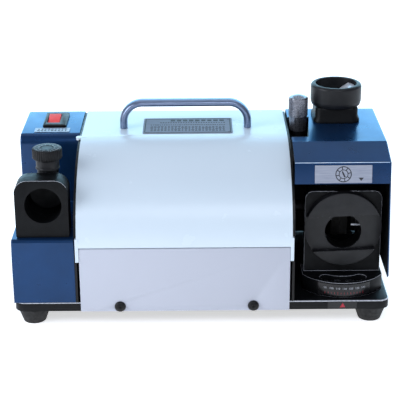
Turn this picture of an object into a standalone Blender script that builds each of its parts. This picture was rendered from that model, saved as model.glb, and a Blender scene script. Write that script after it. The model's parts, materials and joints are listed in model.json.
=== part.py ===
"""Bench drill bit sharpener: setting port on the left, motor in the middle, grinding port on the right.

Metres, +Z up, +X to the operator's right, +Y away from the operator. The origin is the middle of the
footprint, at the height of the surface that the rubber feet stand on.
"""

from math import asin, cos, pi, radians, sin, tan, tau

import bmesh
import bpy
from mathutils import Matrix, Vector

for old in list(bpy.data.objects):
    bpy.data.objects.remove(old, do_unlink=True)

# ---------------------------------------------------------------- clearances
GAP = 0.0003  # between pieces that touch or fit together
PAST = 0.010  # how far a cutter runs past the face that it opens
BURIED = 0.001  # how far a joined shape runs into the one it joins
ROCKER_CLEARANCE = 0.0013  # lets the rocker tip inside its bezel
SEAM_GAP = 0.0011  # shadow line between the centre cover and the panel below it

# ---------------------------------------------------------------- base and feet
BASE_LENGTH = 0.448
BASE_DEPTH = 0.240
BASE_THICKNESS = 0.011
BASE_CORNER = 0.012
BASE_CHAMFER = 0.0012
FOOT_HEIGHT = 0.020
FOOT_TOP_RADIUS = 0.0208
FOOT_BOTTOM_RADIUS = 0.0135
FOOT_INSET = 0.021
FOOT_RECESS_RADIUS = 0.004
FOOT_RECESS_DEPTH = 0.006
FOOT_EDGE = 0.001
FOOT_FLARE = 0.0035  # wider at half its height than at the bottom

# ---------------------------------------------------------------- centre bay: frames, cover and panels
FRAME_THICKNESS = 0.0028
FRAME_INSET = 0.002
WIRING_BEHIND_SHAFT = 0.060
WIRING_ABOVE_DECK = 0.050
WIRING_HOLE_RADIUS = 0.008
SHAFT_HOLE_CLEARANCE = 0.005
COVER_TOP = 0.200
COVER_SHEET = 0.0015
COVER_PROUD = 0.002  # how far the cover stands in front of the base
COVER_CURVE_DEPTH = 0.132  # depth of the curved front, from the seam to the flat top
COVER_BACK_RADIUS = 0.016
SEAM_HEIGHT = 0.102
EAR_WIDTH = 0.0029
EAR_DEPTH = 0.010
EAR_BELOW_SEAM = 0.018
EAR_ABOVE_SEAM = 0.011
TAB_LENGTH = 0.0065
TAB_DEPTH = 0.008
TAB_AHEAD = 0.014  # its front edge, ahead of the end of the curve
TAB_DROP = 0.0004
PANEL_SHEET = 0.0012
PANEL_INSET = 0.0025  # each end of the panels, in from the cover's ends
PANEL_LIP = 0.009
VENT_COUNT = 14
VENT_WIDTH = 0.004
VENT_HEIGHT = 0.036
VENT_PITCH = 0.010

SCREW_HEAD_RADIUS = 0.00675
SCREW_DOME = 0.0034
SCREW_SHANK_RADIUS = 0.003
SCREW_LENGTH = 0.010
SCREW_SPACING = 0.159
SCREW_SHIFT = 0.002
SCREW_UP = 0.00627  # above the base's underside

HANDLE_SPAN = 0.1555
HANDLE_RISE = 0.0318
HANDLE_WIDTH = 0.018
HANDLE_THICKNESS = 0.0095
HANDLE_BEND = 0.024
HANDLE_BEHIND_CURVE = 0.027
HANDLE_SHIFT = 0.0014  # to the right of the cover's middle
HANDLE_SIDES = 12

NAMEPLATE_WIDTH = 0.112
NAMEPLATE_DEPTH = 0.061
NAMEPLATE_THICKNESS = 0.0008
NAMEPLATE_AHEAD_OF_HANDLE = 0.028
NAMEPLATE_SHIFT = 0.004

# ---------------------------------------------------------------- left cover, switch and setting port
LEFT_COVER_WIDTH = 0.0735
LEFT_COVER_SHEET = 0.0015
LEDGE_HEIGHT = 0.112
LEDGE_DEPTH = 0.125  # from the base's front edge back to the tall part's face
LEFT_LOWER_BEND = 0.004
LEFT_TOP_BEND = 0.012

BEZEL_WIDTH = 0.0295
BEZEL_LENGTH = 0.055
BEZEL_HEIGHT = 0.0032
BEZEL_RIM = 0.003
BEZEL_CORNER = 0.002
SWITCH_BODY_DEPTH = 0.025
SWITCH_FROM_LEFT = 0.0398
SWITCH_BEHIND_STEP = 0.0595
ROCKER_WIDTH = 0.015
ROCKER_LENGTH = 0.031
ROCKER_OFFSET = -0.0025
ROCKER_RISE = 0.0018
ROCKER_DIP = 0.0008
ROCKER_DROP = 0.004
ROCKER_PIVOT_RISE = 0.001
ROCKER_TILT = radians(8.0)
ROCKER_POCKET_DEPTH = 0.011

SWITCH_LABEL_WIDTH = 0.0438
SWITCH_LABEL_DEPTH = 0.016
SWITCH_LABEL_FROM_LEFT = 0.0165
SWITCH_LABEL_BEHIND_BEND = 0.001
LABEL_THICKNESS = 0.0006

PORT_PLATE_WIDTH = 0.0626
PORT_PLATE_ABOVE_BORE = 0.00925
PORT_PLATE_THICKNESS = 0.028
PORT_PLATE_CORNER = 0.0155
PORT_PLATE_FOOT_CORNER = 0.002
PORT_PLATE_FROM_LEFT = 0.0373
PORT_PLATE_SETBACK = 0.008
SETTING_BORE_RADIUS = 0.02175
SETTING_BORE_HEIGHT = 0.0397  # bore axis above the ledge
SETTING_BORE_FROM_LEFT = 0.0392
HOUSING_LENGTH = 0.028
HOUSING_WALL = 0.0025
HOUSING_BACK_WALL = 0.006
BOSS_RADIUS = 0.0125  # the housing's round boss below the dial
BOSS_RISE = 0.0019  # above the port plate's top
DIAL_FROM_LEFT = 0.0424
DIAL_BEHIND_PLATE = 0.0127
DIAL_NECK_RADIUS = 0.0145
DIAL_NECK_HEIGHT = 0.0117
DIAL_RADIUS = 0.0177
DIAL_HEIGHT = 0.0131
DIAL_FLUTES = 20
DIAL_FLUTE_DEPTH = 0.0006
DIAL_EDGE = 0.0008
DIAL_SEAT_DEPTH = 0.0079
SPINDLE_RADIUS = 0.004
STOP_RADIUS = 0.0075
STOP_LENGTH = 0.012
STOP_PROJECTION = 0.00375  # into the bore at the smallest drill setting
STOP_BOTTOM = 0.003

INLET_WIDTH = 0.040
INLET_HEIGHT = 0.030
INLET_BODY_WIDTH = 0.030
INLET_BODY_HEIGHT = 0.022
INLET_BODY_DEPTH = 0.020
INLET_POCKET_WIDTH = 0.024
INLET_POCKET_HEIGHT = 0.0165
INLET_POCKET_DEPTH = 0.016
INLET_FROM_LEFT = 0.037
INLET_AXIS_HEIGHT = 0.075
INLET_PIN_WIDTH = 0.002
INLET_PIN_HEIGHT = 0.004
INLET_PIN_LENGTH = 0.009
INLET_PIN_SPACING = 0.007
INLET_EARTH_UP = 0.002
INLET_LINE_DOWN = 0.001

CAPACITOR_RADIUS = 0.020
CAPACITOR_LENGTH = 0.058
CAPACITOR_FROM_LEFT = 0.008
CAPACITOR_BEHIND_SHAFT = 0.045

# ---------------------------------------------------------------- right cover (hood) and the ports on it
HOOD_WIDTH = 0.1137
HOOD_SHEET = 0.0017
HOOD_RISE = 0.006  # above the centre cover
HOOD_CREASE = 0.076  # crease behind the base's front edge
HOOD_BEND = 0.032
HOOD_BEND_DROP = 0.0115
HOOD_LIP = 0.0286
HOOD_LIP_DROP = 0.037
HOOD_SIDE_FRONT = 0.014
HOOD_SIDE_BOTTOM = 0.054
HOOD_BACK_INSET = 0.020
HOOD_BACK_RADIUS = 0.012
HOOD_LEG = 0.040

PIT_AHEAD_OF_FEED = 0.066
PIT_BEHIND_FEED = 0.015
PIT_WIDTH_FRONT = 0.0207
PIT_WIDTH_BACK = 0.029
PIT_DEPTH = 0.031
PIT_WALL = 0.0012
PIT_FLOOR = 0.0015

FEED_FROM_HOOD_LEFT = 0.0125
FEED_BEHIND_SHAFT = 0.030
FEED_TURN = radians(60)  # each way from the middle
FEED_KNOB_RADIUS = 0.0122
FEED_KNOB_TAPER = 0.0015
FEED_KNOB_BOTTOM_DROP = 0.012  # below the hood's top
FEED_KNOB_HEIGHT = 0.046
FEED_KNOB_BAND = 0.019
FEED_BAND_STEP = 0.001
FEED_DOME = 0.0025
FEED_DOME_INSET = 0.0015
FEED_CROWN = 0.0008
FEED_SEAT_DEPTH = 0.012
PEDESTAL_RADIUS = 0.009
ECCENTRICITY = 0.0023
ECCENTRIC_PIN_RADIUS = 0.003
ECCENTRIC_CLEARANCE = 0.00038
FORK_WIDTH = 0.020
FORK_THICKNESS = 0.009
FORK_REACH = 0.008
FORK_BELOW_PIT = 0.003
FORK_FOOT_LENGTH = 0.010
FORK_FOOT_RISE = 0.030  # its lower end, above the shaft
FORK_FOOT_DROP = 0.002  # its upper end, below the fork's top
PIN_PAST_FORK = 0.001
WINDOW_CLEARANCE = 0.0025

WEB_BEHIND_SHAFT = 0.043
WEB_FROM_RIGHT = 0.053
WEB_NECK_WIDTH = 0.058
WEB_NECK_DEPTH = 0.056
WEB_NECK_HEIGHT = 0.0187
WEB_NECK_CORNER = 0.012
WEB_NECK_SHIFT = 0.0005  # to the left of the port's axis
WEB_RING_RADIUS = 0.032
WEB_RING_HEIGHT = 0.0262
WEB_RING_ROUND = 0.003
WEB_BORE_RADIUS = 0.0245
WEB_CAM_RADIUS = 0.0185
WEB_CAM_OFFSET = 0.004
WEB_CAM_HEIGHT = 0.0175
WEB_SLEEVE_WALL = 0.003
WEB_SLEEVE_ABOVE_GUARD = 0.009

FRONT_LABEL_FROM_LEFT = 0.0234
FRONT_LABEL_WIDTH = 0.0673
FRONT_LABEL_HEIGHT = 0.0215
FRONT_LABEL_UP = 0.001

# ---------------------------------------------------------------- grinding port on its swivel
PORT_FROM_RIGHT = 0.0535
PIVOT_SETBACK = 0.0625  # pivot axis behind the base's front edge
SWIVEL_RADIUS = 0.055
SWIVEL_HALF_WIDTH = 0.048
SWIVEL_BEHIND_PIVOT = 0.0075
SWIVEL_FOOT_THICKNESS = 0.0187
BLOCK_WIDTH = 0.092
BLOCK_HEIGHT = 0.1222
BLOCK_THICKNESS = 0.020
BLOCK_AHEAD_OF_PIVOT = 0.0171
BLOCK_CORNER = 0.010
BLOCK_OVERLAP = 0.006
SLOT_INNER_RADIUS = 0.034
SLOT_OUTER_RADIUS = 0.049
SLOT_HALF_ANGLE = radians(34.0)
SLOT_LEDGE = 0.0040  # how much narrower the slot is below the screw heads, each side
SLOT_POCKET_DEPTH = 0.010
SLOT_LEDGE_ANGLE = 0.02  # radians, at each end
CLAMP_ANGLE = radians(11.5)
CLAMP_HEAD_RADIUS = 0.0065
CLAMP_HEAD_HEIGHT = 0.006
CLAMP_HEX_RADIUS = 0.0029
CLAMP_HEX_DEPTH = 0.003
CLAMP_BITE = 0.007  # into the base
PIVOT_PIN_RADIUS = 0.005
PIVOT_PIN_HEIGHT = 0.0137
DISC_RADIUS = 0.0465
DISC_THICKNESS = 0.010
DISC_ABOVE_BORE = 0.005
DISC_EDGE = 0.0008
CHANNEL_HEIGHT = 0.0445
CHANNEL_DEPTH = 0.007
CHANNEL_TILT = radians(2.2)
PORT_BORE_RADIUS = 0.022
SLEEVE_WALL = 0.002
SLEEVE_BACK = 0.0016
SCALE_THICKNESS = 0.0008
SCALE_HEIGHT = 0.0155
SCALE_UP = 0.0017
INDEX_WIDTH = 0.035
INDEX_THICKNESS = 0.0007
INDEX_SHIFT = -0.003
INDEX_UP = 0.001

# ---------------------------------------------------------------- motor, carriage and wheel
SHAFT_HEIGHT = 0.103
SHAFT_BEHIND_PIVOT = 0.0675
SHAFT_RADIUS = 0.008
SHAFT_NOSE_RADIUS = 0.006
SHAFT_NOSE_PAST_NUT = 0.003
SHAFT_PAST_FAN = 0.002
MOTOR_RADIUS = 0.058
MOTOR_BORE_RADIUS = 0.031
MOTOR_FROM_LEFT_FRAME = 0.0426
MOTOR_FROM_RIGHT_FRAME = 0.047
ROTOR_RADIUS = 0.0305
ROTOR_MARGIN = 0.033
SHIELD_THICKNESS = 0.0077
BEARING_RADIUS = 0.0175
BEARING_WIDTH = 0.0067
FAN_RADIUS = 0.046
FAN_HUB_RADIUS = 0.014
FAN_BLADES = 8
FAN_WIDTH = 0.014
FAN_AWAY = 0.0047
FAN_ROOT_BACK = 0.30  # a blade's edges, in radians from its middle line
FAN_ROOT_AHEAD = 0.18
FAN_TIP_HALF = 0.05
RAIL_HEIGHT = 0.0064
RAIL_WIDTH = 0.016
RAIL_SPACING = 0.084
RAIL_OVERHANG = 0.008
CRADLE_MARGIN = 0.010
CRADLE_HALF_DEPTH = 0.060
CRADLE_PLATE_TOP = 0.044
CRADLE_SKIRT = 0.002
SADDLE_LENGTH = 0.028
SADDLE_HALF_WIDTH = 0.040
SADDLE_RISE = 0.020
SADDLE_FROM_END = 0.020
SADDLE_ABOVE_DECK = 0.008
WHEEL_RADIUS = 0.050
WHEEL_WIDTH = 0.020
WHEEL_CONE = 0.006
FLANGE_RADIUS = 0.020
FLANGE_WIDTH = 0.0102
NUT_RADIUS = 0.0115
NUT_WIDTH = 0.008
GUARD_CLEARANCE = 0.004
GUARD_WALL = 0.002
GUARD_SIDE = 0.0145
GUARD_HOLE_RADIUS = 0.022
GUARD_WINDOW_HALF = 0.0185
GUARD_FOOT_HALF = 0.010
GUARD_FOOT_INSET = 0.004
GUARD_WINDOW_DEPTH = 0.036  # how far each window's cut runs in from the guard's outside
GUARD_TOP_WINDOW_DEPTH = 0.051

# ---------------------------------------------------------------- places that follow from the sizes above
LEFT_END = -BASE_LENGTH / 2
RIGHT_END = BASE_LENGTH / 2
FRONT = -BASE_DEPTH / 2
BACK = BASE_DEPTH / 2
BASE_TOP = FOOT_HEIGHT + BASE_THICKNESS
DECK = BASE_TOP + GAP

LEFT_COVER_RIGHT = LEFT_END + LEFT_COVER_WIDTH
LEFT_FRAME_X = LEFT_COVER_RIGHT + GAP
HOOD_LEFT = RIGHT_END - HOOD_WIDTH
RIGHT_FRAME_X = HOOD_LEFT - GAP - FRAME_THICKNESS
COVER_LEFT = LEFT_FRAME_X + FRAME_THICKNESS + GAP
COVER_RIGHT = RIGHT_FRAME_X - GAP
COVER_MIDDLE = (COVER_LEFT + COVER_RIGHT) / 2
COVER_FRONT = FRONT - COVER_PROUD
CURVE_END = COVER_FRONT + COVER_CURVE_DEPTH
HANDLE_Y = CURVE_END + HANDLE_BEHIND_CURVE
NAMEPLATE_FRONT = HANDLE_Y - NAMEPLATE_AHEAD_OF_HANDLE
PANEL_TOP = SEAM_HEIGHT - SEAM_GAP
PANEL_FACE = FRONT - GAP - PANEL_SHEET
SCREW_SEAT = PANEL_FACE - GAP
FRONT_MOST = SCREW_SEAT - SCREW_DOME
SCREW_HEIGHT = FOOT_HEIGHT + SCREW_UP
ON_COVER = COVER_TOP + GAP

STEP_Y = FRONT + LEDGE_DEPTH
ON_LEDGE = LEDGE_HEIGHT + GAP
PLATE_FRONT = FRONT + PORT_PLATE_SETBACK
PLATE_BACK = PLATE_FRONT + PORT_PLATE_THICKNESS
PLATE_X = LEFT_END + PORT_PLATE_FROM_LEFT
SETTING_X = LEFT_END + SETTING_BORE_FROM_LEFT
SETTING_Z = ON_LEDGE + SETTING_BORE_HEIGHT
PLATE_TOP = SETTING_Z + SETTING_BORE_RADIUS + PORT_PLATE_ABOVE_BORE
HOUSING_FRONT = PLATE_BACK + GAP
BOSS_TOP = PLATE_TOP + BOSS_RISE
DIAL_AXIS = Vector((LEFT_END + DIAL_FROM_LEFT, HOUSING_FRONT + DIAL_BEHIND_PLATE, 0))
NECK_BOTTOM = BOSS_TOP + GAP
DIAL_BOTTOM = NECK_BOTTOM + DIAL_NECK_HEIGHT + GAP
STOP_LOW = SETTING_Z + SETTING_BORE_RADIUS - STOP_PROJECTION

SWITCH_X = LEFT_END + SWITCH_FROM_LEFT
SWITCH_Y = STEP_Y + SWITCH_BEHIND_STEP
ROCKER_PIVOT = Vector((SWITCH_X + ROCKER_OFFSET, SWITCH_Y, ON_COVER + ROCKER_PIVOT_RISE))

HOOD_TOP = COVER_TOP + HOOD_RISE
ON_HOOD = HOOD_TOP + GAP
HOOD_BACK = BACK - HOOD_BACK_INSET
HOOD_BEND_POINT = Vector((FRONT + HOOD_BEND, HOOD_TOP - HOOD_BEND_DROP))
HOOD_LIP_POINT = Vector((FRONT + HOOD_LIP, HOOD_TOP - HOOD_LIP_DROP))

PORT_X = RIGHT_END - PORT_FROM_RIGHT
PIVOT_Y = FRONT + PIVOT_SETBACK
SHAFT_Y = PIVOT_Y + SHAFT_BEHIND_PIVOT
SHAFT = (SHAFT_Y, SHAFT_HEIGHT)
SWIVEL_TOP = DECK + SWIVEL_FOOT_THICKNESS
BLOCK_FRONT = PIVOT_Y - BLOCK_AHEAD_OF_PIVOT
BLOCK_BACK = BLOCK_FRONT + BLOCK_THICKNESS
CLAMP_CIRCLE = (SLOT_INNER_RADIUS + SLOT_OUTER_RADIUS) / 2
SLOT_FLOOR = SWIVEL_TOP - SLOT_POCKET_DEPTH

WEB = (RIGHT_END - WEB_FROM_RIGHT, SHAFT_Y + WEB_BEHIND_SHAFT)
WEB_NECK_TOP = ON_HOOD + WEB_NECK_HEIGHT
GUARD_INNER = WHEEL_RADIUS + GUARD_CLEARANCE
GUARD_OUTER = GUARD_INNER + GUARD_WALL

PIT_BOTTOM = HOOD_TOP - PIT_DEPTH
FEED = (HOOD_LEFT + FEED_FROM_HOOD_LEFT, SHAFT_Y + FEED_BEHIND_SHAFT)
PIT_FRONT_Y = FEED[1] - PIT_AHEAD_OF_FEED
PIT_BACK_Y = FEED[1] + PIT_BEHIND_FEED
FEED_KNOB_BOTTOM = HOOD_TOP - FEED_KNOB_BOTTOM_DROP
FORK_TOP = PIT_BOTTOM - FORK_BELOW_PIT
FORK_MIDDLE = FORK_TOP - FORK_THICKNESS / 2

MOTOR_RIGHT = RIGHT_FRAME_X - MOTOR_FROM_RIGHT_FRAME
MOTOR_LEFT = LEFT_FRAME_X + FRAME_THICKNESS + MOTOR_FROM_LEFT_FRAME
WHEEL_LEFT = PORT_X - WHEEL_WIDTH / 2
WHEEL_RIGHT = PORT_X + WHEEL_WIDTH / 2


# ---------------------------------------------------------------- outlines
def rounded(corners, steps=4):
    """Outline through (u, v, radius) corners, each turned into an arc of its radius."""
    outline = []
    for i, (u, v, radius) in enumerate(corners):
        corner = Vector((u, v))
        if radius == 0:
            outline.append(corner)
            continue
        back = (Vector(corners[i - 1][:2]) - corner).normalized()
        ahead = (Vector(corners[(i + 1) % len(corners)][:2]) - corner).normalized()
        half = back.angle(ahead) / 2
        centre = corner + (back + ahead).normalized() * radius / sin(half)
        start = corner + back * radius / tan(half) - centre
        turn = (pi - 2 * half) * (1 if back.cross(ahead) < 0 else -1)
        for k in range(steps + 1):
            outline.append(centre + Matrix.Rotation(turn * k / steps, 2) @ start)
    return outline


def rectangle(u0, v0, u1, v1, radius=0, steps=4):
    return rounded([(u0, v0, radius), (u1, v0, radius), (u1, v1, radius), (u0, v1, radius)], steps)


def shifted(points, distance, closed=True):
    """The points moved sideways by distance, to the left of the direction of travel."""
    moved = []
    for i, point in enumerate(points):
        sides = []
        if closed or i > 0:
            sides.append((point - points[i - 1]).normalized().orthogonal())
        if closed or i < len(points) - 1:
            sides.append((points[(i + 1) % len(points)] - point).normalized().orthogonal())
        share = 1 + sides[0].dot(sides[1]) if len(sides) == 2 else 1
        moved.append(point + sum(sides, Vector((0, 0))) * distance / share)
    return moved


def strip(path, thickness):
    """A sheet's section: the open path, and the path moved to its right by the thickness."""
    return path + shifted(path, -thickness, closed=False)[::-1]


def sector(centre, inner, outer, half_angle, steps=16):
    """Part of a ring about the centre, facing -v."""
    angles = [-pi / 2 - half_angle + 2 * half_angle * k / steps for k in range(steps + 1)]
    arc = [Vector((cos(angle), sin(angle))) for angle in angles]
    middle = Vector(centre)
    return [middle + outer * d for d in arc] + [middle + inner * d for d in reversed(arc)]


# ---------------------------------------------------------------- solids
def spot(axis, u, v, w):
    """The point at (u, v) in the plane across the axis, and at w along it."""
    return {"X": (w, u, v), "Y": (u, w, v), "Z": (u, v, w)}[axis]


def add(name, mesh, finish):
    bmesh.ops.recalc_face_normals(mesh, faces=mesh.faces)
    data = bpy.data.meshes.new(name)
    mesh.to_mesh(data)
    mesh.free()
    if finish:
        data.materials.append(finish)
    solid = bpy.data.objects.new(name, data)
    bpy.context.collection.objects.link(solid)
    return solid


def loft(name, axis, sections, finish=None):
    """A closed solid through outlines of equal count, each given as (place along the axis, outline)."""
    mesh = bmesh.new()
    rings = []
    for w, outline in sections:
        rings.append([mesh.verts.new(spot(axis, p[0], p[1], w)) for p in outline])
    mesh.faces.new(rings[0])
    mesh.faces.new(rings[-1])
    for low, high in zip(rings, rings[1:]):
        for i in range(len(low)):
            mesh.faces.new((low[i - 1], low[i], high[i], high[i - 1]))
    return add(name, mesh, finish)


def prism(name, axis, outline, low, high, finish=None):
    return loft(name, axis, [(low, outline), (high, outline)], finish)


def box(name, low, high, finish=None):
    return prism(name, "Z", rectangle(low[0], low[1], high[0], high[1]), low[2], high[2], finish)


def turned(name, axis, centre, profile, finish=None, segments=32):
    """A closed solid of revolution from (radius, place along the axis) points, which close on themselves."""
    mesh = bmesh.new()
    rings = []
    for radius, along in profile:
        if radius < 1e-7:
            rings.append([mesh.verts.new(spot(axis, centre[0], centre[1], along))] * segments)
            continue
        turns = [tau * (k + 0.5) / segments for k in range(segments)]
        points = [(centre[0] + radius * cos(t), centre[1] + radius * sin(t)) for t in turns]
        rings.append([mesh.verts.new(spot(axis, u, v, along)) for u, v in points])
    for low, high in zip(rings, rings[1:] + rings[:1]):
        for i in range(segments):
            corners = tuple(dict.fromkeys((low[i - 1], low[i], high[i], high[i - 1])))
            if len(corners) > 2:
                mesh.faces.new(corners)
    return add(name, mesh, finish)


def rod(name, axis, centre, radius, low, high, finish=None, segments=32):
    return turned(name, axis, centre, [(0, low), (radius, low), (radius, high), (0, high)], finish, segments)


def tube(name, axis, centre, inner, outer, low, high, finish=None, segments=32):
    profile = [(inner, low), (outer, low), (outer, high), (inner, high)]
    return turned(name, axis, centre, profile, finish, segments)


def boxes(name, corner_pairs):
    """Several separate boxes as one cutter."""
    mesh = bmesh.new()
    for low, high in corner_pairs:
        made = bmesh.ops.create_cube(mesh, size=1)["verts"]
        size = Vector(high) - Vector(low)
        bmesh.ops.scale(mesh, vec=size, verts=made)
        bmesh.ops.translate(mesh, vec=(Vector(high) + Vector(low)) / 2, verts=made)
    return add(name, mesh, None)


def combine(body, tool, operation):
    modifier = body.modifiers.new(tool.name, "BOOLEAN")
    modifier.operation = operation
    modifier.object = tool
    tool.hide_render = True
    tool.display_type = "WIRE"


def cut(body, *tools):
    for tool in tools:
        combine(body, tool, "DIFFERENCE")


def join(body, *tools):
    for tool in tools:
        combine(body, tool, "UNION")


def joint(name, position, pieces):
    """An empty on the joint's axis, with the moving pieces as its children."""
    empty = bpy.data.objects.new(name, None)
    bpy.context.collection.objects.link(empty)
    empty.location = position
    for piece in pieces:
        piece.parent = empty
        piece.matrix_parent_inverse = Matrix.Translation(-Vector(position))


# ---------------------------------------------------------------- finishes
def finish(name, colour, roughness, metallic=0.0):
    material = bpy.data.materials.new(name)
    material.use_nodes = True
    shader = material.node_tree.nodes["Principled BSDF"]
    shader.inputs["Base Color"].default_value = (*colour, 1.0)
    shader.inputs["Roughness"].default_value = roughness
    shader.inputs["Metallic"].default_value = metallic
    return material


WHITE_ENAMEL = finish("white_enamel", (0.62, 0.72, 0.90), 0.18)
BLUE_ENAMEL = finish("blue_enamel", (0.02, 0.08, 0.28), 0.20)
BLACK_CASTING = finish("black_casting", (0.02, 0.02, 0.024), 0.45)
BLACK_STEEL = finish("black_steel", (0.015, 0.015, 0.018), 0.40)
BLACK_PLASTIC = finish("black_plastic", (0.012, 0.012, 0.012), 0.50)
RED_PLASTIC = finish("red_plastic", (0.80, 0.03, 0.01), 0.30)
CHROME = finish("chrome", (0.70, 0.72, 0.75), 0.12, 1.0)
BRIGHT_STEEL = finish("bright_steel", (0.55, 0.56, 0.58), 0.28, 1.0)
ALUMINIUM = finish("aluminium", (0.60, 0.61, 0.63), 0.40, 1.0)
RUBBER = finish("rubber", (0.015, 0.015, 0.015), 0.80)
ABRASIVE = finish("abrasive", (0.20, 0.17, 0.12), 0.90)


# ---------------------------------------------------------------- base and feet
def clamp_places():
    for side, name in ((-1, "left"), (1, "right")):
        angle = -pi / 2 + side * CLAMP_ANGLE
        yield name, (PORT_X + CLAMP_CIRCLE * cos(angle), PIVOT_Y + CLAMP_CIRCLE * sin(angle))


def screw_places():
    for side, name in ((-1, "left"), (1, "right")):
        yield name, (COVER_MIDDLE + SCREW_SHIFT + side * SCREW_SPACING / 2, SCREW_HEIGHT)


def base_plate():
    outline = rectangle(LEFT_END, FRONT, RIGHT_END, BACK, BASE_CORNER)
    sections = [
        (FOOT_HEIGHT, outline),
        (BASE_TOP - BASE_CHAMFER, outline),
        (BASE_TOP, shifted(outline, BASE_CHAMFER)),
    ]
    plate = loft("base_plate", "Z", sections, BLACK_CASTING)
    for name, place in clamp_places():
        hole = rod(f"hole_clamp_{name}", "Z", place, SCREW_SHANK_RADIUS + GAP,
                   BASE_TOP - CLAMP_BITE - GAP, BASE_TOP + PAST, segments=16)
        cut(plate, hole)
    for name, place in screw_places():
        hole = rod(f"hole_panel_{name}", "Y", place, SCREW_SHANK_RADIUS + GAP,
                   FRONT - PAST, FRONT + SCREW_LENGTH + GAP, segments=16)
        cut(plate, hole)
    cut(plate, rod("hole_pivot", "Z", (PORT_X, PIVOT_Y), PIVOT_PIN_RADIUS + GAP,
                   BASE_TOP - CLAMP_BITE - GAP, BASE_TOP + PAST, segments=24))


def feet():
    top = FOOT_HEIGHT - GAP
    profile = [
        (FOOT_RECESS_RADIUS, 0),
        (FOOT_BOTTOM_RADIUS - FOOT_EDGE, 0),
        (FOOT_BOTTOM_RADIUS, FOOT_EDGE),
        (FOOT_BOTTOM_RADIUS + FOOT_FLARE, FOOT_HEIGHT / 2),
        (FOOT_TOP_RADIUS, top),
        (0, top),
        (0, FOOT_RECESS_DEPTH),
        (FOOT_RECESS_RADIUS, FOOT_RECESS_DEPTH),
    ]
    for y, row in ((FRONT + FOOT_INSET, "front"), (BACK - FOOT_INSET, "rear")):
        for x, side in ((LEFT_END + FOOT_INSET, "left"), (RIGHT_END - FOOT_INSET, "right")):
            turned(f"foot_{row}_{side}", "Z", (x, y), profile, RUBBER, segments=20)


# ---------------------------------------------------------------- centre bay
def cover_path(steps=14):
    """The centre cover's outside, from the front seam over the top to the rear seam, in (Y, Z)."""
    rise = COVER_TOP - SEAM_HEIGHT
    path = []
    for k in range(steps + 1):
        angle = pi - pi / 2 * k / steps
        path.append(Vector((CURVE_END + COVER_CURVE_DEPTH * cos(angle), SEAM_HEIGHT + rise * sin(angle))))
    for k in range(6):
        angle = pi / 2 * (1 - k / 5)
        path.append(Vector((BACK - COVER_BACK_RADIUS * (1 - cos(angle)),
                            COVER_TOP - COVER_BACK_RADIUS * (1 - sin(angle)))))
    path.append(Vector((BACK, SEAM_HEIGHT)))
    return path


def ear_box(side, margin):
    """The ear beside the cover's end, or with a margin the notch that clears it."""
    end = COVER_LEFT if side < 0 else COVER_RIGHT
    x0, x1 = sorted((end + side * (EAR_WIDTH + margin), end - side * (PANEL_INSET - GAP)))
    low = (x0, COVER_FRONT - margin, SEAM_HEIGHT - EAR_BELOW_SEAM - margin)
    high = (x1, COVER_FRONT + EAR_DEPTH + margin, SEAM_HEIGHT + EAR_ABOVE_SEAM + margin)
    return low, high


def top_cover():
    section = strip(cover_path(), COVER_SHEET)
    cover = prism("top_cover", "X", section, COVER_LEFT, COVER_RIGHT, WHITE_ENAMEL)
    join(cover, box("ear_left", *ear_box(-1, 0)), box("ear_right", *ear_box(1, 0)))
    tab_front = CURVE_END - TAB_AHEAD
    join(cover, box("corner_tab", (COVER_LEFT - TAB_LENGTH, tab_front, COVER_TOP - COVER_SHEET),
                    (COVER_LEFT + TAB_LENGTH, tab_front + TAB_DEPTH, COVER_TOP - TAB_DROP)))


def frame_plate(name, x, side):
    inner = shifted(cover_path(), -FRAME_INSET, closed=False)
    outline = [Vector((COVER_FRONT + FRAME_INSET, DECK)), *inner, Vector((BACK - FRAME_INSET, DECK))]
    plate = prism(name, "X", outline, x, x + FRAME_THICKNESS, BLACK_STEEL)
    cut(plate, box(f"{name}_notch", *ear_box(side, 4 * GAP)))
    return plate


def frames():
    left = frame_plate("left_frame", LEFT_FRAME_X, -1)
    wiring = (SHAFT_Y + WIRING_BEHIND_SHAFT, DECK + WIRING_ABOVE_DECK)
    cut(left, rod("wiring_hole", "X", wiring, WIRING_HOLE_RADIUS,
                  LEFT_FRAME_X - PAST, LEFT_FRAME_X + PAST, segments=16))
    right = frame_plate("right_frame", RIGHT_FRAME_X, 1)
    cut(right, rod("shaft_hole", "X", SHAFT, FLANGE_RADIUS + SHAFT_HOLE_CLEARANCE,
                   RIGHT_FRAME_X - PAST, RIGHT_FRAME_X + PAST, segments=24))
    half = FORK_WIDTH / 2 + WINDOW_CLEARANCE
    rise = FORK_THICKNESS / 2 + WINDOW_CLEARANCE
    cut(right, box("fork_window", (RIGHT_FRAME_X - PAST, FEED[1] - half, FORK_MIDDLE - rise),
                   (RIGHT_FRAME_X + PAST, FEED[1] + half, FORK_MIDDLE + rise)))


def front_panel():
    path = [
        Vector((PANEL_FACE, FOOT_HEIGHT)),
        Vector((PANEL_FACE, PANEL_TOP)),
        Vector((PANEL_FACE + PANEL_LIP, PANEL_TOP)),
    ]
    panel = prism("front_panel", "X", strip(path, PANEL_SHEET),
                  COVER_LEFT + PANEL_INSET, COVER_RIGHT - PANEL_INSET, WHITE_ENAMEL)
    for name, place in screw_places():
        cut(panel, rod(f"panel_hole_{name}", "Y", place, SCREW_SHANK_RADIUS + GAP,
                       PANEL_FACE - PAST, PANEL_FACE + PAST, segments=16))


def panel_screws():
    steps = 4
    for name, place in screw_places():
        dome = []
        for k in range(steps + 1):
            angle = pi / 2 * k / steps
            dome.append((SCREW_HEAD_RADIUS * sin(angle), SCREW_SEAT - SCREW_DOME * cos(angle)))
        profile = [*dome, (SCREW_SHANK_RADIUS, SCREW_SEAT), (SCREW_SHANK_RADIUS, FRONT + SCREW_LENGTH),
                   (0, FRONT + SCREW_LENGTH)]
        turned(f"front_screw_{name}", "Y", place, profile, BLACK_STEEL, segments=20)


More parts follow.
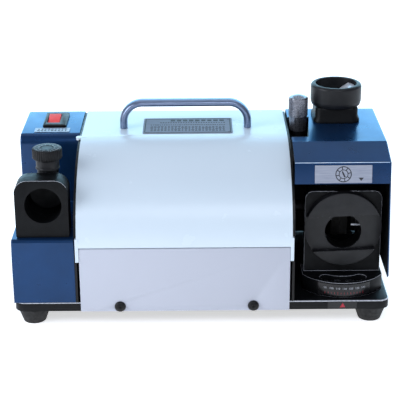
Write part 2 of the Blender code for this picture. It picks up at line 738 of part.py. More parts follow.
def rear_panel():
    face = BACK - GAP
    panel = box("rear_panel", (COVER_LEFT + PANEL_INSET, face - PANEL_SHEET, DECK),
                (COVER_RIGHT - PANEL_INSET, face, PANEL_TOP), WHITE_ENAMEL)
    middle = (DECK + PANEL_TOP) / 2
    vents = []
    for k in range(VENT_COUNT):
        x = COVER_MIDDLE + (k - (VENT_COUNT - 1) / 2) * VENT_PITCH
        vents.append(((x - VENT_WIDTH / 2, face - PAST, middle - VENT_HEIGHT / 2),
                      (x + VENT_WIDTH / 2, face + PAST, middle + VENT_HEIGHT / 2)))
    cut(panel, boxes("vents", vents))


def handle():
    """A flat oval bar bent into two legs and a grip, standing on the cover's top."""
    middle = COVER_MIDDLE + HANDLE_SHIFT
    top = ON_COVER + HANDLE_RISE
    left, right = middle - HANDLE_SPAN / 2, middle + HANDLE_SPAN / 2
    corners = [(left, ON_COVER, 0), (left, top, HANDLE_BEND), (right, top, HANDLE_BEND), (right, ON_COVER, 0)]
    path = rounded(corners, steps=6)
    outward = shifted(path, 1.0, closed=False)
    mesh = bmesh.new()
    rings = []
    for point, moved in zip(path, outward):
        direction = (moved - point).normalized()
        ring = []
        for k in range(HANDLE_SIDES):
            angle = tau * k / HANDLE_SIDES
            place = point + direction * HANDLE_THICKNESS / 2 * cos(angle)
            ring.append(mesh.verts.new((place[0], HANDLE_Y + HANDLE_WIDTH / 2 * sin(angle), place[1])))
        rings.append(ring)
    mesh.faces.new(rings[0])
    mesh.faces.new(rings[-1])
    for low, high in zip(rings, rings[1:]):
        for k in range(HANDLE_SIDES):
            mesh.faces.new((low[k - 1], low[k], high[k], high[k - 1]))
    add("handle", mesh, CHROME)


def nameplate():
    middle = COVER_MIDDLE + NAMEPLATE_SHIFT
    box("nameplate", (middle - NAMEPLATE_WIDTH / 2, NAMEPLATE_FRONT, ON_COVER),
        (middle + NAMEPLATE_WIDTH / 2, NAMEPLATE_FRONT + NAMEPLATE_DEPTH, ON_COVER + NAMEPLATE_THICKNESS),
        ALUMINIUM)


# ---------------------------------------------------------------- left cover and switch
def left_outline():
    return rounded([
        (FRONT, DECK, 0),
        (BACK, DECK, 0),
        (BACK, COVER_TOP, COVER_BACK_RADIUS),
        (STEP_Y, COVER_TOP, LEFT_TOP_BEND),
        (STEP_Y, LEDGE_HEIGHT, 0),
        (FRONT, LEDGE_HEIGHT, LEFT_LOWER_BEND),
    ])


def hollow(outline, sheet, floor):
    """The inside of a folded sheet cover that is open at the bottom."""
    inside = shifted(outline, sheet)
    return [Vector((p[0], p[1] - PAST)) if p[1] < floor + 2 * sheet else p for p in inside]


def inlet_place():
    return LEFT_END + INLET_FROM_LEFT, INLET_AXIS_HEIGHT


def left_cover():
    outline = left_outline()
    cover = prism("left_cover", "X", outline, LEFT_END, LEFT_COVER_RIGHT, BLUE_ENAMEL)
    cut(cover, prism("left_hollow", "X", hollow(outline, LEFT_COVER_SHEET, DECK),
                     LEFT_END + LEFT_COVER_SHEET, LEFT_COVER_RIGHT + PAST))
    width = BEZEL_WIDTH / 2 - BEZEL_RIM + GAP
    length = BEZEL_LENGTH / 2 - BEZEL_RIM + GAP
    cut(cover, box("switch_hole", (SWITCH_X - width, SWITCH_Y - length, COVER_TOP - PAST),
                   (SWITCH_X + width, SWITCH_Y + length, COVER_TOP + PAST)))
    x, z = inlet_place()
    width = INLET_BODY_WIDTH / 2 + GAP
    height = INLET_BODY_HEIGHT / 2 + GAP
    cut(cover, box("inlet_hole", (x - width, BACK - PAST, z - height), (x + width, BACK + PAST, z + height)))


def switch_bezel():
    low = ON_COVER
    top = ON_COVER + BEZEL_HEIGHT
    outline = rectangle(SWITCH_X - BEZEL_WIDTH / 2, SWITCH_Y - BEZEL_LENGTH / 2,
                        SWITCH_X + BEZEL_WIDTH / 2, SWITCH_Y + BEZEL_LENGTH / 2, BEZEL_CORNER, 2)
    bezel = prism("switch_bezel", "Z", outline, low, top, BLACK_PLASTIC)
    width = BEZEL_WIDTH / 2 - BEZEL_RIM
    length = BEZEL_LENGTH / 2 - BEZEL_RIM
    join(bezel, box("switch_body", (SWITCH_X - width, SWITCH_Y - length, low - SWITCH_BODY_DEPTH),
                    (SWITCH_X + width, SWITCH_Y + length, low + BEZEL_HEIGHT / 2)))
    pivot = ROCKER_PIVOT
    width = ROCKER_WIDTH / 2 + 2 * GAP
    length = ROCKER_LENGTH / 2 + ROCKER_CLEARANCE
    cut(bezel, box("rocker_pocket", (pivot.x - width, pivot.y - length, pivot.z - ROCKER_POCKET_DEPTH),
                   (pivot.x + width, pivot.y + length, top + PAST)))


def switch_rocker():
    half = ROCKER_LENGTH / 2
    outline = [
        Vector((-half, -ROCKER_DROP)),
        Vector((half, -ROCKER_DROP)),
        Vector((half, ROCKER_RISE)),
        Vector((0, ROCKER_RISE - ROCKER_DIP)),
        Vector((-half, ROCKER_RISE)),
    ]
    tilted = [Matrix.Rotation(ROCKER_TILT, 2) @ point + ROCKER_PIVOT.yz for point in outline]
    rocker = prism("switch_rocker", "X", tilted, ROCKER_PIVOT.x - ROCKER_WIDTH / 2,
                   ROCKER_PIVOT.x + ROCKER_WIDTH / 2, RED_PLASTIC)
    joint("rocker_axis", ROCKER_PIVOT, [rocker])


def switch_label():
    front = STEP_Y + LEFT_TOP_BEND + SWITCH_LABEL_BEHIND_BEND
    x = LEFT_END + SWITCH_LABEL_FROM_LEFT
    box("switch_label", (x, front, ON_COVER),
        (x + SWITCH_LABEL_WIDTH, front + SWITCH_LABEL_DEPTH, ON_COVER + LABEL_THICKNESS), ALUMINIUM)


def power_inlet():
    x, z = inlet_place()
    rear = -FRONT_MOST
    seat = BACK + GAP
    inlet = box("power_inlet", (x - INLET_WIDTH / 2, seat, z - INLET_HEIGHT / 2),
                (x + INLET_WIDTH / 2, rear, z + INLET_HEIGHT / 2), BLACK_PLASTIC)
    half = INLET_BODY_WIDTH / 2
    join(inlet, box("inlet_body", (x - half, seat - INLET_BODY_DEPTH, z - INLET_BODY_HEIGHT / 2),
                    (x + half, seat + BURIED, z + INLET_BODY_HEIGHT / 2)))
    floor = rear - INLET_POCKET_DEPTH
    cut(inlet, box("inlet_pocket", (x - INLET_POCKET_WIDTH / 2, floor, z - INLET_POCKET_HEIGHT / 2),
                   (x + INLET_POCKET_WIDTH / 2, rear + PAST, z + INLET_POCKET_HEIGHT / 2)))
    pins = []
    for k in (-1, 0, 1):
        up = INLET_EARTH_UP if k == 0 else -INLET_LINE_DOWN
        middle = Vector((x + k * INLET_PIN_SPACING, floor, z + up))
        half = Vector((INLET_PIN_WIDTH / 2, 0, INLET_PIN_HEIGHT / 2))
        pins.append((middle - half - Vector((0, BURIED, 0)),
                     middle + half + Vector((0, INLET_PIN_LENGTH, 0))))
    join(inlet, boxes("inlet_pins", pins))


def capacitor():
    place = (SHAFT_Y + CAPACITOR_BEHIND_SHAFT, DECK + CAPACITOR_RADIUS + GAP)
    start = LEFT_END + CAPACITOR_FROM_LEFT
    rod("capacitor", "X", place, CAPACITOR_RADIUS, start, start + CAPACITOR_LENGTH, ALUMINIUM, segments=24)


# ---------------------------------------------------------------- setting port
def setting_bore(name, low, high):
    return rod(name, "Y", (SETTING_X, SETTING_Z), SETTING_BORE_RADIUS, low, high)


def setting_block():
    half = PORT_PLATE_WIDTH / 2
    outline = rounded([
        (PLATE_X - half, ON_LEDGE, PORT_PLATE_FOOT_CORNER),
        (PLATE_X + half, ON_LEDGE, PORT_PLATE_FOOT_CORNER),
        (PLATE_X + half, PLATE_TOP, PORT_PLATE_CORNER),
        (PLATE_X - half, PLATE_TOP, PORT_PLATE_CORNER),
    ])
    block = prism("setting_block", "Y", outline, PLATE_FRONT, PLATE_BACK, BLACK_CASTING)
    cut(block, setting_bore("plate_bore", PLATE_FRONT - PAST, PLATE_BACK + PAST))


def setting_housing():
    """An arch round the bore, closed at the back, with a round boss that carries the dial."""
    radius = SETTING_BORE_RADIUS + HOUSING_WALL
    steps = 16
    outline = [Vector((SETTING_X - radius, ON_LEDGE)), Vector((SETTING_X + radius, ON_LEDGE))]
    for k in range(steps + 1):
        angle = pi * k / steps
        outline.append(Vector((SETTING_X + radius * cos(angle), SETTING_Z + radius * sin(angle))))
    back = HOUSING_FRONT + HOUSING_LENGTH
    housing = prism("setting_housing", "Y", outline, HOUSING_FRONT, back, BLACK_CASTING)
    join(housing, rod("dial_boss", "Z", DIAL_AXIS.xy, BOSS_RADIUS, SETTING_Z, BOSS_TOP, segments=24))
    cut(housing, setting_bore("housing_bore", HOUSING_FRONT - PAST, back - HOUSING_BACK_WALL))
    cut(housing, rod("stop_guide", "Z", DIAL_AXIS.xy, STOP_RADIUS + GAP, SETTING_Z, BOSS_TOP + PAST,
                     segments=24))


def size_dial():
    tube("dial_neck", "Z", DIAL_AXIS.xy, SPINDLE_RADIUS + GAP, DIAL_NECK_RADIUS,
         NECK_BOTTOM, NECK_BOTTOM + DIAL_NECK_HEIGHT, BLACK_CASTING, segments=24)
    outline = []
    for k in range(2 * DIAL_FLUTES):
        angle = pi * k / DIAL_FLUTES
        radius = DIAL_RADIUS - DIAL_FLUTE_DEPTH * (k % 2)
        outline.append(DIAL_AXIS.xy + radius * Vector((cos(angle), sin(angle))))
    top = DIAL_BOTTOM + DIAL_HEIGHT
    sections = [(DIAL_BOTTOM, outline), (top - DIAL_EDGE, outline), (top, shifted(outline, DIAL_EDGE))]
    knob = loft("size_dial", "Z", sections, BLACK_PLASTIC)
    seat = DIAL_BOTTOM + DIAL_SEAT_DEPTH
    cut(knob, rod("dial_seat", "Z", DIAL_AXIS.xy, SPINDLE_RADIUS + GAP, DIAL_BOTTOM - PAST, seat,
                  segments=16))
    spindle = rod("dial_spindle", "Z", DIAL_AXIS.xy, SPINDLE_RADIUS,
                  STOP_LOW + STOP_BOTTOM + 2 * GAP, seat - GAP, BRIGHT_STEEL, segments=16)
    joint("dial_axis", DIAL_AXIS, [knob, spindle])


def tip_stop():
    top = STOP_LOW + STOP_LENGTH
    profile = [
        (0, STOP_LOW),
        (STOP_RADIUS, STOP_LOW),
        (STOP_RADIUS, top),
        (SPINDLE_RADIUS + GAP, top),
        (SPINDLE_RADIUS + GAP, STOP_LOW + STOP_BOTTOM),
        (0, STOP_LOW + STOP_BOTTOM),
    ]
    joint("stop_axis", DIAL_AXIS, [turned("tip_stop", "Z", DIAL_AXIS.xy, profile, BRIGHT_STEEL, segments=24)])


# ---------------------------------------------------------------- right cover (hood)
def hood_outline():
    """The hood's side, in (Y, Z), with a leg that stands on the base at the rear."""
    return rounded([
        (FRONT + HOOD_SIDE_FRONT, HOOD_SIDE_BOTTOM, 0),
        (HOOD_BACK - HOOD_LEG, HOOD_SIDE_BOTTOM, 0),
        (HOOD_BACK - HOOD_LEG, DECK, 0),
        (HOOD_BACK, DECK, 0),
        (HOOD_BACK, HOOD_TOP, HOOD_BACK_RADIUS),
        (FRONT + HOOD_CREASE, HOOD_TOP, 0),
        (*HOOD_BEND_POINT, 0),
        (*HOOD_LIP_POINT, 0),
    ])


def hood_hollow():
    """The hood's inside, which runs out of its open bottom and of its open front below the lip."""
    upper = [
        Vector((HOOD_BACK, DECK - PAST)),
        *rounded([(HOOD_BACK, DECK, 0), (HOOD_BACK, HOOD_TOP, HOOD_BACK_RADIUS),
                  (FRONT + HOOD_CREASE, HOOD_TOP, 0)]),
        HOOD_BEND_POINT,
        HOOD_LIP_POINT,
    ]
    inside = shifted(upper[:1] + upper[2:], HOOD_SHEET, closed=False)
    return [*inside, Vector((FRONT - PAST, HOOD_LIP_POINT.y)), Vector((FRONT - PAST, DECK - PAST))]


def pit_corners(margin, left):
    """The pit in the hood's top, open on the side of the centre cover."""
    corners = [
        Vector((HOOD_LEFT - PAST, PIT_FRONT_Y)),
        Vector((HOOD_LEFT + PIT_WIDTH_FRONT, PIT_FRONT_Y)),
        Vector((HOOD_LEFT + PIT_WIDTH_BACK, PIT_BACK_Y)),
        Vector((HOOD_LEFT - PAST, PIT_BACK_Y)),
    ]
    inner = shifted(corners, margin)
    return [Vector((left, p[1])) if p[0] < HOOD_LEFT else p for p in inner]


def right_cover():
    hood = prism("right_cover", "X", hood_outline(), HOOD_LEFT, RIGHT_END, BLUE_ENAMEL)
    cut(hood, prism("hood_hollow", "X", hood_hollow(), HOOD_LEFT - PAST, RIGHT_END - HOOD_SHEET))
    cut(hood, prism("pit_hole", "Z", pit_corners(0, HOOD_LEFT - PAST), HOOD_TOP - PAST, HOOD_TOP + PAST))
    cut(hood, rod("web_hole", "Z", WEB, WEB_BORE_RADIUS + GAP, HOOD_TOP - PAST, HOOD_TOP + PAST))


def front_label():
    along = (HOOD_BEND_POINT - HOOD_LIP_POINT).normalized()
    outward = Vector((-along.y, along.x))
    foot = HOOD_LIP_POINT + along * FRONT_LABEL_UP + outward * GAP
    rise = along * FRONT_LABEL_HEIGHT
    out = outward * LABEL_THICKNESS
    x = HOOD_LEFT + FRONT_LABEL_FROM_LEFT
    prism("front_label", "X", [foot, foot + rise, foot + rise + out, foot + out],
          x, x + FRONT_LABEL_WIDTH, ALUMINIUM)


def pit_tray():
    top = HOOD_TOP - GAP
    tray = prism("pit_tray", "Z", pit_corners(GAP, HOOD_LEFT), PIT_BOTTOM, top, BLACK_STEEL)
    cut(tray, prism("tray_hollow", "Z", pit_corners(GAP + PIT_WALL, HOOD_LEFT - PAST),
                    PIT_BOTTOM + PIT_FLOOR, top + PAST))
    cut(tray, rod("tray_hole", "Z", FEED, SPINDLE_RADIUS + GAP, PIT_BOTTOM - PAST, PIT_BOTTOM + PAST,
                  segments=16))


def feed_pedestal():
    tube("feed_pedestal", "Z", FEED, SPINDLE_RADIUS + GAP, PEDESTAL_RADIUS,
         PIT_BOTTOM + PIT_FLOOR + GAP, FEED_KNOB_BOTTOM - GAP, BLACK_STEEL, segments=24)


def feed_knob():
    """The silver knob, and the spindle whose eccentric pin pushes the carriage's fork."""
    low = FEED_KNOB_BOTTOM
    top = low + FEED_KNOB_HEIGHT
    seat = low + FEED_SEAT_DEPTH
    profile = [
        (SPINDLE_RADIUS + GAP, low),
        (FEED_KNOB_RADIUS - FEED_KNOB_TAPER, low),
        (FEED_KNOB_RADIUS - FEED_KNOB_TAPER / 2, low + FEED_KNOB_BAND - FEED_BAND_STEP),
        (FEED_KNOB_RADIUS, low + FEED_KNOB_BAND),
        (FEED_KNOB_RADIUS, top - FEED_DOME),
        (FEED_KNOB_RADIUS - FEED_DOME_INSET, top - FEED_CROWN),
        (0, top),
        (0, seat),
        (SPINDLE_RADIUS + GAP, seat),
    ]
    knob = turned("feed_knob", "Z", FEED, profile, BRIGHT_STEEL, segments=24)
    shoulder = (FORK_TOP + PIT_BOTTOM) / 2
    spindle = rod("feed_spindle", "Z", FEED, SPINDLE_RADIUS, shoulder, seat - GAP, BRIGHT_STEEL, segments=16)
    join(spindle, rod("eccentric_pin", "Z", (FEED[0], FEED[1] - ECCENTRICITY), ECCENTRIC_PIN_RADIUS,
                      FORK_TOP - FORK_THICKNESS - PIN_PAST_FORK, shoulder + BURIED, segments=16))
    joint("feed_axis", (*FEED, 0), [knob, spindle])


def web_port():
    x, y = WEB
    outline = rectangle(x - WEB_NECK_WIDTH / 2 - WEB_NECK_SHIFT, y - WEB_NECK_DEPTH / 2,
                        x + WEB_NECK_WIDTH / 2 - WEB_NECK_SHIFT, y + WEB_NECK_DEPTH / 2, WEB_NECK_CORNER)
    neck = prism("web_port_neck", "Z", outline, ON_HOOD, WEB_NECK_TOP, BLACK_CASTING)
    cut(neck, rod("neck_bore", "Z", WEB, WEB_BORE_RADIUS, ON_HOOD - PAST, WEB_NECK_TOP + PAST))
    low = WEB_NECK_TOP + GAP
    top = low + WEB_RING_HEIGHT
    edge = WEB_RING_ROUND
    bulge = edge * (1 - cos(pi / 4))
    profile = [
        (WEB_BORE_RADIUS, low),
        (WEB_RING_RADIUS - edge / 2, low),
        (WEB_RING_RADIUS, low + edge / 2),
        (WEB_RING_RADIUS, top - edge),
        (WEB_RING_RADIUS - bulge, top - bulge),
        (WEB_RING_RADIUS - edge, top),
        (WEB_BORE_RADIUS + edge / 2, top),
        (WEB_BORE_RADIUS, top - edge / 2),
    ]
    turned("web_port_ring", "Z", WEB, profile, BLACK_CASTING)
    bush = rod("web_port_cam", "Z", WEB, WEB_BORE_RADIUS - GAP, low, low + WEB_CAM_HEIGHT, BRIGHT_STEEL)
    cut(bush, rod("cam_bore", "Z", (x - WEB_CAM_OFFSET, y), WEB_CAM_RADIUS, low - PAST, top + PAST))
    outer = WEB_BORE_RADIUS - GAP
    tube("web_port_sleeve", "Z", WEB, outer - WEB_SLEEVE_WALL, outer,
         SHAFT_HEIGHT + GUARD_OUTER + WEB_SLEEVE_ABOVE_GUARD, WEB_NECK_TOP - GAP, BRIGHT_STEEL)


# ---------------------------------------------------------------- grinding port on its swivel
def swivel_bracket():
    """A round foot that turns on the base, with the block that holds the port standing on it."""
    corner = pi / 2 - asin(SWIVEL_HALF_WIDTH / SWIVEL_RADIUS)
    steps = 20
    foot = []
    for k in range(steps + 1):
        angle = -pi + corner + (pi - 2 * corner) * k / steps
        foot.append(Vector((PORT_X + SWIVEL_RADIUS * cos(angle), PIVOT_Y + SWIVEL_RADIUS * sin(angle))))
    foot.append(Vector((PORT_X + SWIVEL_HALF_WIDTH, PIVOT_Y + SWIVEL_BEHIND_PIVOT)))
    foot.append(Vector((PORT_X - SWIVEL_HALF_WIDTH, PIVOT_Y + SWIVEL_BEHIND_PIVOT)))
    bracket = prism("swivel_bracket", "Z", foot, DECK, SWIVEL_TOP, BLACK_CASTING)
    low = SWIVEL_TOP - BLOCK_OVERLAP
    top = DECK + BLOCK_HEIGHT
    half = BLOCK_WIDTH / 2
    outline = rounded([
        (PORT_X - half, low, 0), (PORT_X + half, low, 0),
        (PORT_X + half, top, BLOCK_CORNER), (PORT_X - half, top, BLOCK_CORNER),
    ])
    join(bracket, prism("port_block", "Y", outline, BLOCK_FRONT, BLOCK_BACK))
    pivot = (PORT_X, PIVOT_Y)
    pocket = sector(pivot, SLOT_INNER_RADIUS, SLOT_OUTER_RADIUS, SLOT_HALF_ANGLE)
    cut(bracket, prism("slot_pocket", "Z", pocket, SLOT_FLOOR, SWIVEL_TOP + PAST))
    cut(bracket, prism("slot_through", "Z",
                       sector(pivot, SLOT_INNER_RADIUS + SLOT_LEDGE, SLOT_OUTER_RADIUS - SLOT_LEDGE,
                              SLOT_HALF_ANGLE - SLOT_LEDGE_ANGLE), DECK - PAST, SWIVEL_TOP + PAST))
    cut(bracket, rod("bracket_bore", "Y", (PORT_X, SHAFT_HEIGHT), PORT_BORE_RADIUS + SLEEVE_WALL + GAP,
                     BLOCK_FRONT - PAST, BLOCK_BACK + PAST))
    cut(bracket, rod("pivot_socket", "Z", pivot, PIVOT_PIN_RADIUS + GAP, DECK - PAST,
                     DECK + PIVOT_PIN_HEIGHT + GAP, segments=24))
    return bracket


def port_disc():
    face = BLOCK_FRONT - GAP - DISC_THICKNESS
    back = BLOCK_FRONT - GAP
    middle = (PORT_X, SHAFT_HEIGHT + DISC_ABOVE_BORE)
    rim = [(DISC_RADIUS - DISC_EDGE, face), (DISC_RADIUS, face + DISC_EDGE), (DISC_RADIUS, back)]
    profile = [(0, face), *rim, (0, back)]
    disc = turned("port_disc", "Y", middle, profile, BLACK_CASTING, segments=40)
    half = CHANNEL_HEIGHT / 2
    corners = rectangle(-DISC_RADIUS - PAST, -half, DISC_RADIUS + PAST, half)
    turn = Matrix.Rotation(CHANNEL_TILT, 2)
    outline = [turn @ corner + Vector((PORT_X, SHAFT_HEIGHT)) for corner in corners]
    cut(disc, prism("channel", "Y", outline, face - PAST, face + CHANNEL_DEPTH))
    cut(disc, rod("disc_bore", "Y", (PORT_X, SHAFT_HEIGHT), PORT_BORE_RADIUS, face - PAST, back + PAST))
    return disc


def port_sleeve():
    return tube("port_sleeve", "Y", (PORT_X, SHAFT_HEIGHT), PORT_BORE_RADIUS, PORT_BORE_RADIUS + SLEEVE_WALL,
                BLOCK_FRONT, BLOCK_BACK + SLEEVE_BACK, BRIGHT_STEEL)


def scale_plate():
    inner = SWIVEL_RADIUS + GAP
    outline = sector((PORT_X, PIVOT_Y), inner, inner + SCALE_THICKNESS, SLOT_HALF_ANGLE, 20)
    return prism("scale_plate", "Z", outline, DECK + SCALE_UP, DECK + SCALE_UP + SCALE_HEIGHT, BLACK_PLASTIC)


def swivel():
    joint("swivel_axis", (PORT_X, PIVOT_Y, 0), [swivel_bracket(), port_disc(), port_sleeve(), scale_plate()])
    rod("swivel_pin", "Z", (PORT_X, PIVOT_Y), PIVOT_PIN_RADIUS, BASE_TOP - CLAMP_BITE,
        DECK + PIVOT_PIN_HEIGHT, BRIGHT_STEEL, segments=24)
    for name, place in clamp_places():
        seat = SLOT_FLOOR + GAP
        top = seat + CLAMP_HEAD_HEIGHT
        profile = [(0, BASE_TOP - CLAMP_BITE), (SCREW_SHANK_RADIUS, BASE_TOP - CLAMP_BITE),
                   (SCREW_SHANK_RADIUS, seat), (CLAMP_HEAD_RADIUS, seat), (CLAMP_HEAD_RADIUS, top), (0, top)]
        screw = turned(f"swivel_clamp_{name}", "Z", place, profile, BLACK_STEEL, segments=20)
        cut(screw, rod(f"clamp_hex_{name}", "Z", place, CLAMP_HEX_RADIUS, top - CLAMP_HEX_DEPTH, top + PAST,
                       segments=6))


def index_plate():
    face = FRONT - GAP
    x = PORT_X + INDEX_SHIFT
    box("index_plate", (x - INDEX_WIDTH / 2, face - INDEX_THICKNESS, FOOT_HEIGHT + INDEX_UP),
        (x + INDEX_WIDTH / 2, face, BASE_TOP - BASE_CHAMFER), BLACK_PLASTIC)


# ---------------------------------------------------------------- motor on its carriage
def rail_places():
    for side, name in ((-1, "front"), (1, "rear")):
        yield name, SHAFT_Y + side * RAIL_SPACING / 2


def carriage_rails():
    for name, y in rail_places():
        box(f"carriage_rail_{name}", (MOTOR_LEFT - RAIL_OVERHANG, y - RAIL_WIDTH / 2, DECK),
            (MOTOR_RIGHT + RAIL_OVERHANG, y + RAIL_WIDTH / 2, DECK + RAIL_HEIGHT), BRIGHT_STEEL)


def motor_cradle():
    left = MOTOR_LEFT + CRADLE_MARGIN
    right = MOTOR_RIGHT - CRADLE_MARGIN
    cradle = box("motor_cradle", (left, SHAFT_Y - CRADLE_HALF_DEPTH, DECK + CRADLE_SKIRT),
                 (right, SHAFT_Y + CRADLE_HALF_DEPTH, CRADLE_PLATE_TOP), BLACK_CASTING)
    for name, x in (("left", left + SADDLE_FROM_END), ("right", right - SADDLE_FROM_END)):
        low = (x - SADDLE_LENGTH / 2, SHAFT_Y - SADDLE_HALF_WIDTH, DECK + SADDLE_ABOVE_DECK)
        high = (x + SADDLE_LENGTH / 2, SHAFT_Y + SADDLE_HALF_WIDTH, CRADLE_PLATE_TOP + SADDLE_RISE)
        join(cradle, box(f"saddle_{name}", low, high))
    cut(cradle, rod("cradle_bore", "X", SHAFT, MOTOR_RADIUS + GAP, left - PAST, right + PAST, segments=40))
    for name, y in rail_places():
        half = RAIL_WIDTH / 2 + GAP
        cut(cradle, box(f"groove_{name}", (left - PAST, y - half, DECK - PAST),
                        (right + PAST, y + half, DECK + RAIL_HEIGHT + GAP)))
    return cradle


def motor_shell():
    body = tube("motor_body", "X", SHAFT, MOTOR_BORE_RADIUS, MOTOR_RADIUS, MOTOR_LEFT, MOTOR_RIGHT,
                ALUMINIUM, segments=40)
    pieces = [body]
    for name, x in (("left", MOTOR_LEFT - GAP - SHIELD_THICKNESS), ("right", MOTOR_RIGHT + GAP)):
        pieces.append(tube(f"end_shield_{name}", "X", SHAFT, BEARING_RADIUS + GAP, MOTOR_RADIUS,
                           x, x + SHIELD_THICKNESS, ALUMINIUM, segments=40))
        middle = x + SHIELD_THICKNESS / 2
        pieces.append(tube(f"bearing_{name}", "X", SHAFT, SHAFT_RADIUS + GAP, BEARING_RADIUS,
                           middle - BEARING_WIDTH / 2, middle + BEARING_WIDTH / 2, BRIGHT_STEEL, segments=24))
    return pieces


def feed_fork():
    """The arm on the motor that the feed knob's eccentric pin pushes, through a window in the right frame."""
    half = FORK_WIDTH / 2
    start = MOTOR_RIGHT - FORK_FOOT_LENGTH
    fork = box("feed_fork", (start, FEED[1] - half, FORK_TOP - FORK_THICKNESS),
               (FEED[0] + FORK_REACH, FEED[1] + half, FORK_TOP), BLACK_CASTING)
    join(fork, box("fork_foot", (start, FEED[1] - half, SHAFT_HEIGHT + FORK_FOOT_RISE),
                   (start + FORK_FOOT_LENGTH, FEED[1] + half, FORK_TOP - FORK_FOOT_DROP)))
    cut(fork, rod("fork_saddle", "X", SHAFT, MOTOR_RADIUS + GAP, start - PAST,
                  FEED[0] + FORK_REACH + PAST, segments=40))
    width = ECCENTRIC_PIN_RADIUS + ECCENTRIC_CLEARANCE
    travel = ECCENTRICITY * (1 - cos(FEED_TURN)) / 2
    middle = FEED[1] - ECCENTRICITY + travel
    length = width + travel + GAP
    cut(fork, box("fork_slot", (FEED[0] - width, middle - length, FORK_TOP - FORK_THICKNESS - PAST),
                  (FEED[0] + width, middle + length, FORK_TOP + PAST)))
    return fork


def motor_shaft():
    """The shaft with the rotor core on it, stepped down where the wheel is clamped."""
    shoulder = WHEEL_LEFT - GAP - FLANGE_WIDTH - GAP
    tail = MOTOR_LEFT - SHIELD_THICKNESS - FAN_AWAY - FAN_WIDTH - SHAFT_PAST_FAN
    nose = WHEEL_RIGHT + GAP + NUT_WIDTH + SHAFT_NOSE_PAST_NUT
    profile = [
        (0, tail),
        (SHAFT_RADIUS, tail),
        (SHAFT_RADIUS, MOTOR_LEFT + ROTOR_MARGIN),
        (ROTOR_RADIUS, MOTOR_LEFT + ROTOR_MARGIN),
        (ROTOR_RADIUS, MOTOR_RIGHT - ROTOR_MARGIN),
        (SHAFT_RADIUS, MOTOR_RIGHT - ROTOR_MARGIN),
        (SHAFT_RADIUS, shoulder),
        (SHAFT_NOSE_RADIUS, shoulder),
        (SHAFT_NOSE_RADIUS, nose),
        (0, nose),
    ]
    return turned("motor_shaft", "X", SHAFT, profile, BRIGHT_STEEL, segments=24)


def fan():
    """A paddle fan: straight blades about a hub."""
    right = MOTOR_LEFT - SHIELD_THICKNESS - FAN_AWAY
    outline = []
    for k in range(FAN_BLADES):
        for radius, turn in ((FAN_HUB_RADIUS, -FAN_ROOT_BACK), (FAN_RADIUS, -FAN_TIP_HALF),
                             (FAN_RADIUS, FAN_TIP_HALF), (FAN_HUB_RADIUS, FAN_ROOT_AHEAD)):
            angle = tau * k / FAN_BLADES + turn
            outline.append(Vector(SHAFT) + radius * Vector((cos(angle), sin(angle))))
    blades = prism("fan", "X", outline, right - FAN_WIDTH, right, BLACK_PLASTIC)
    cut(blades, rod("fan_bore", "X", SHAFT, SHAFT_RADIUS + GAP, right - FAN_WIDTH - PAST, right + PAST,
                    segments=24))
    return blades


def wheel():
    bore = SHAFT_NOSE_RADIUS + GAP
    flange = tube("wheel_flange", "X", SHAFT, bore, FLANGE_RADIUS, WHEEL_LEFT - GAP - FLANGE_WIDTH,
                  WHEEL_LEFT - GAP, BRIGHT_STEEL, segments=24)
    rim = WHEEL_RADIUS - WHEEL_CONE
    profile = [(bore, WHEEL_LEFT), (rim, WHEEL_LEFT), (WHEEL_RADIUS, PORT_X), (rim, WHEEL_RIGHT),
               (bore, WHEEL_RIGHT)]
    stone = turned("grinding_wheel", "X", SHAFT, profile, ABRASIVE, segments=40)
    nut = rod("wheel_nut", "X", SHAFT, NUT_RADIUS, WHEEL_RIGHT + GAP, WHEEL_RIGHT + GAP + NUT_WIDTH,
              BRIGHT_STEEL, segments=6)
    cut(nut, rod("nut_bore", "X", SHAFT, bore, WHEEL_RIGHT - PAST, WHEEL_RIGHT + NUT_WIDTH + PAST,
                 segments=24))
    return [flange, stone, nut]


def drive():
    joint("carriage_axis", (0, SHAFT_Y, CRADLE_PLATE_TOP), [motor_cradle(), feed_fork(), *motor_shell()])
    joint("rotor_axis", (0, *SHAFT), [motor_shaft(), fan(), *wheel()])


def wheel_guard():
    """An open cup round the wheel, with a window for the drill at each port and a foot on the base."""
    left = PORT_X - WHEEL_WIDTH / 2 - GUARD_SIDE
    right = PORT_X + WHEEL_WIDTH / 2 + GUARD_SIDE
    profile = [
        (GUARD_HOLE_RADIUS, left),
        (GUARD_OUTER, left),
        (GUARD_OUTER, right),
        (GUARD_INNER, right),
        (GUARD_INNER, left + GUARD_WALL),
        (GUARD_HOLE_RADIUS, left + GUARD_WALL),
    ]
    guard = turned("wheel_guard", "X", SHAFT, profile, BLACK_STEEL, segments=40)
    half = GUARD_WINDOW_HALF
    front = SHAFT_Y - GUARD_OUTER
    cut(guard, box("front_window", (PORT_X - half, front - PAST, SHAFT_HEIGHT - half),
                   (PORT_X + half, front + GUARD_WINDOW_DEPTH, SHAFT_HEIGHT + half)))
    top = SHAFT_HEIGHT + GUARD_OUTER
    cut(guard, box("top_window", (WEB[0] - half, WEB[1] - half, top - GUARD_TOP_WINDOW_DEPTH),
                   (WEB[0] + half, WEB[1] + half, top + PAST)))
    foot_top = SHAFT_HEIGHT - GUARD_INNER - GUARD_WALL / 3
    join(guard, box("guard_foot", (left + GUARD_FOOT_INSET, SHAFT_Y - GUARD_FOOT_HALF, DECK),
                    (right - GUARD_FOOT_INSET, SHAFT_Y + GUARD_FOOT_HALF, foot_top)))


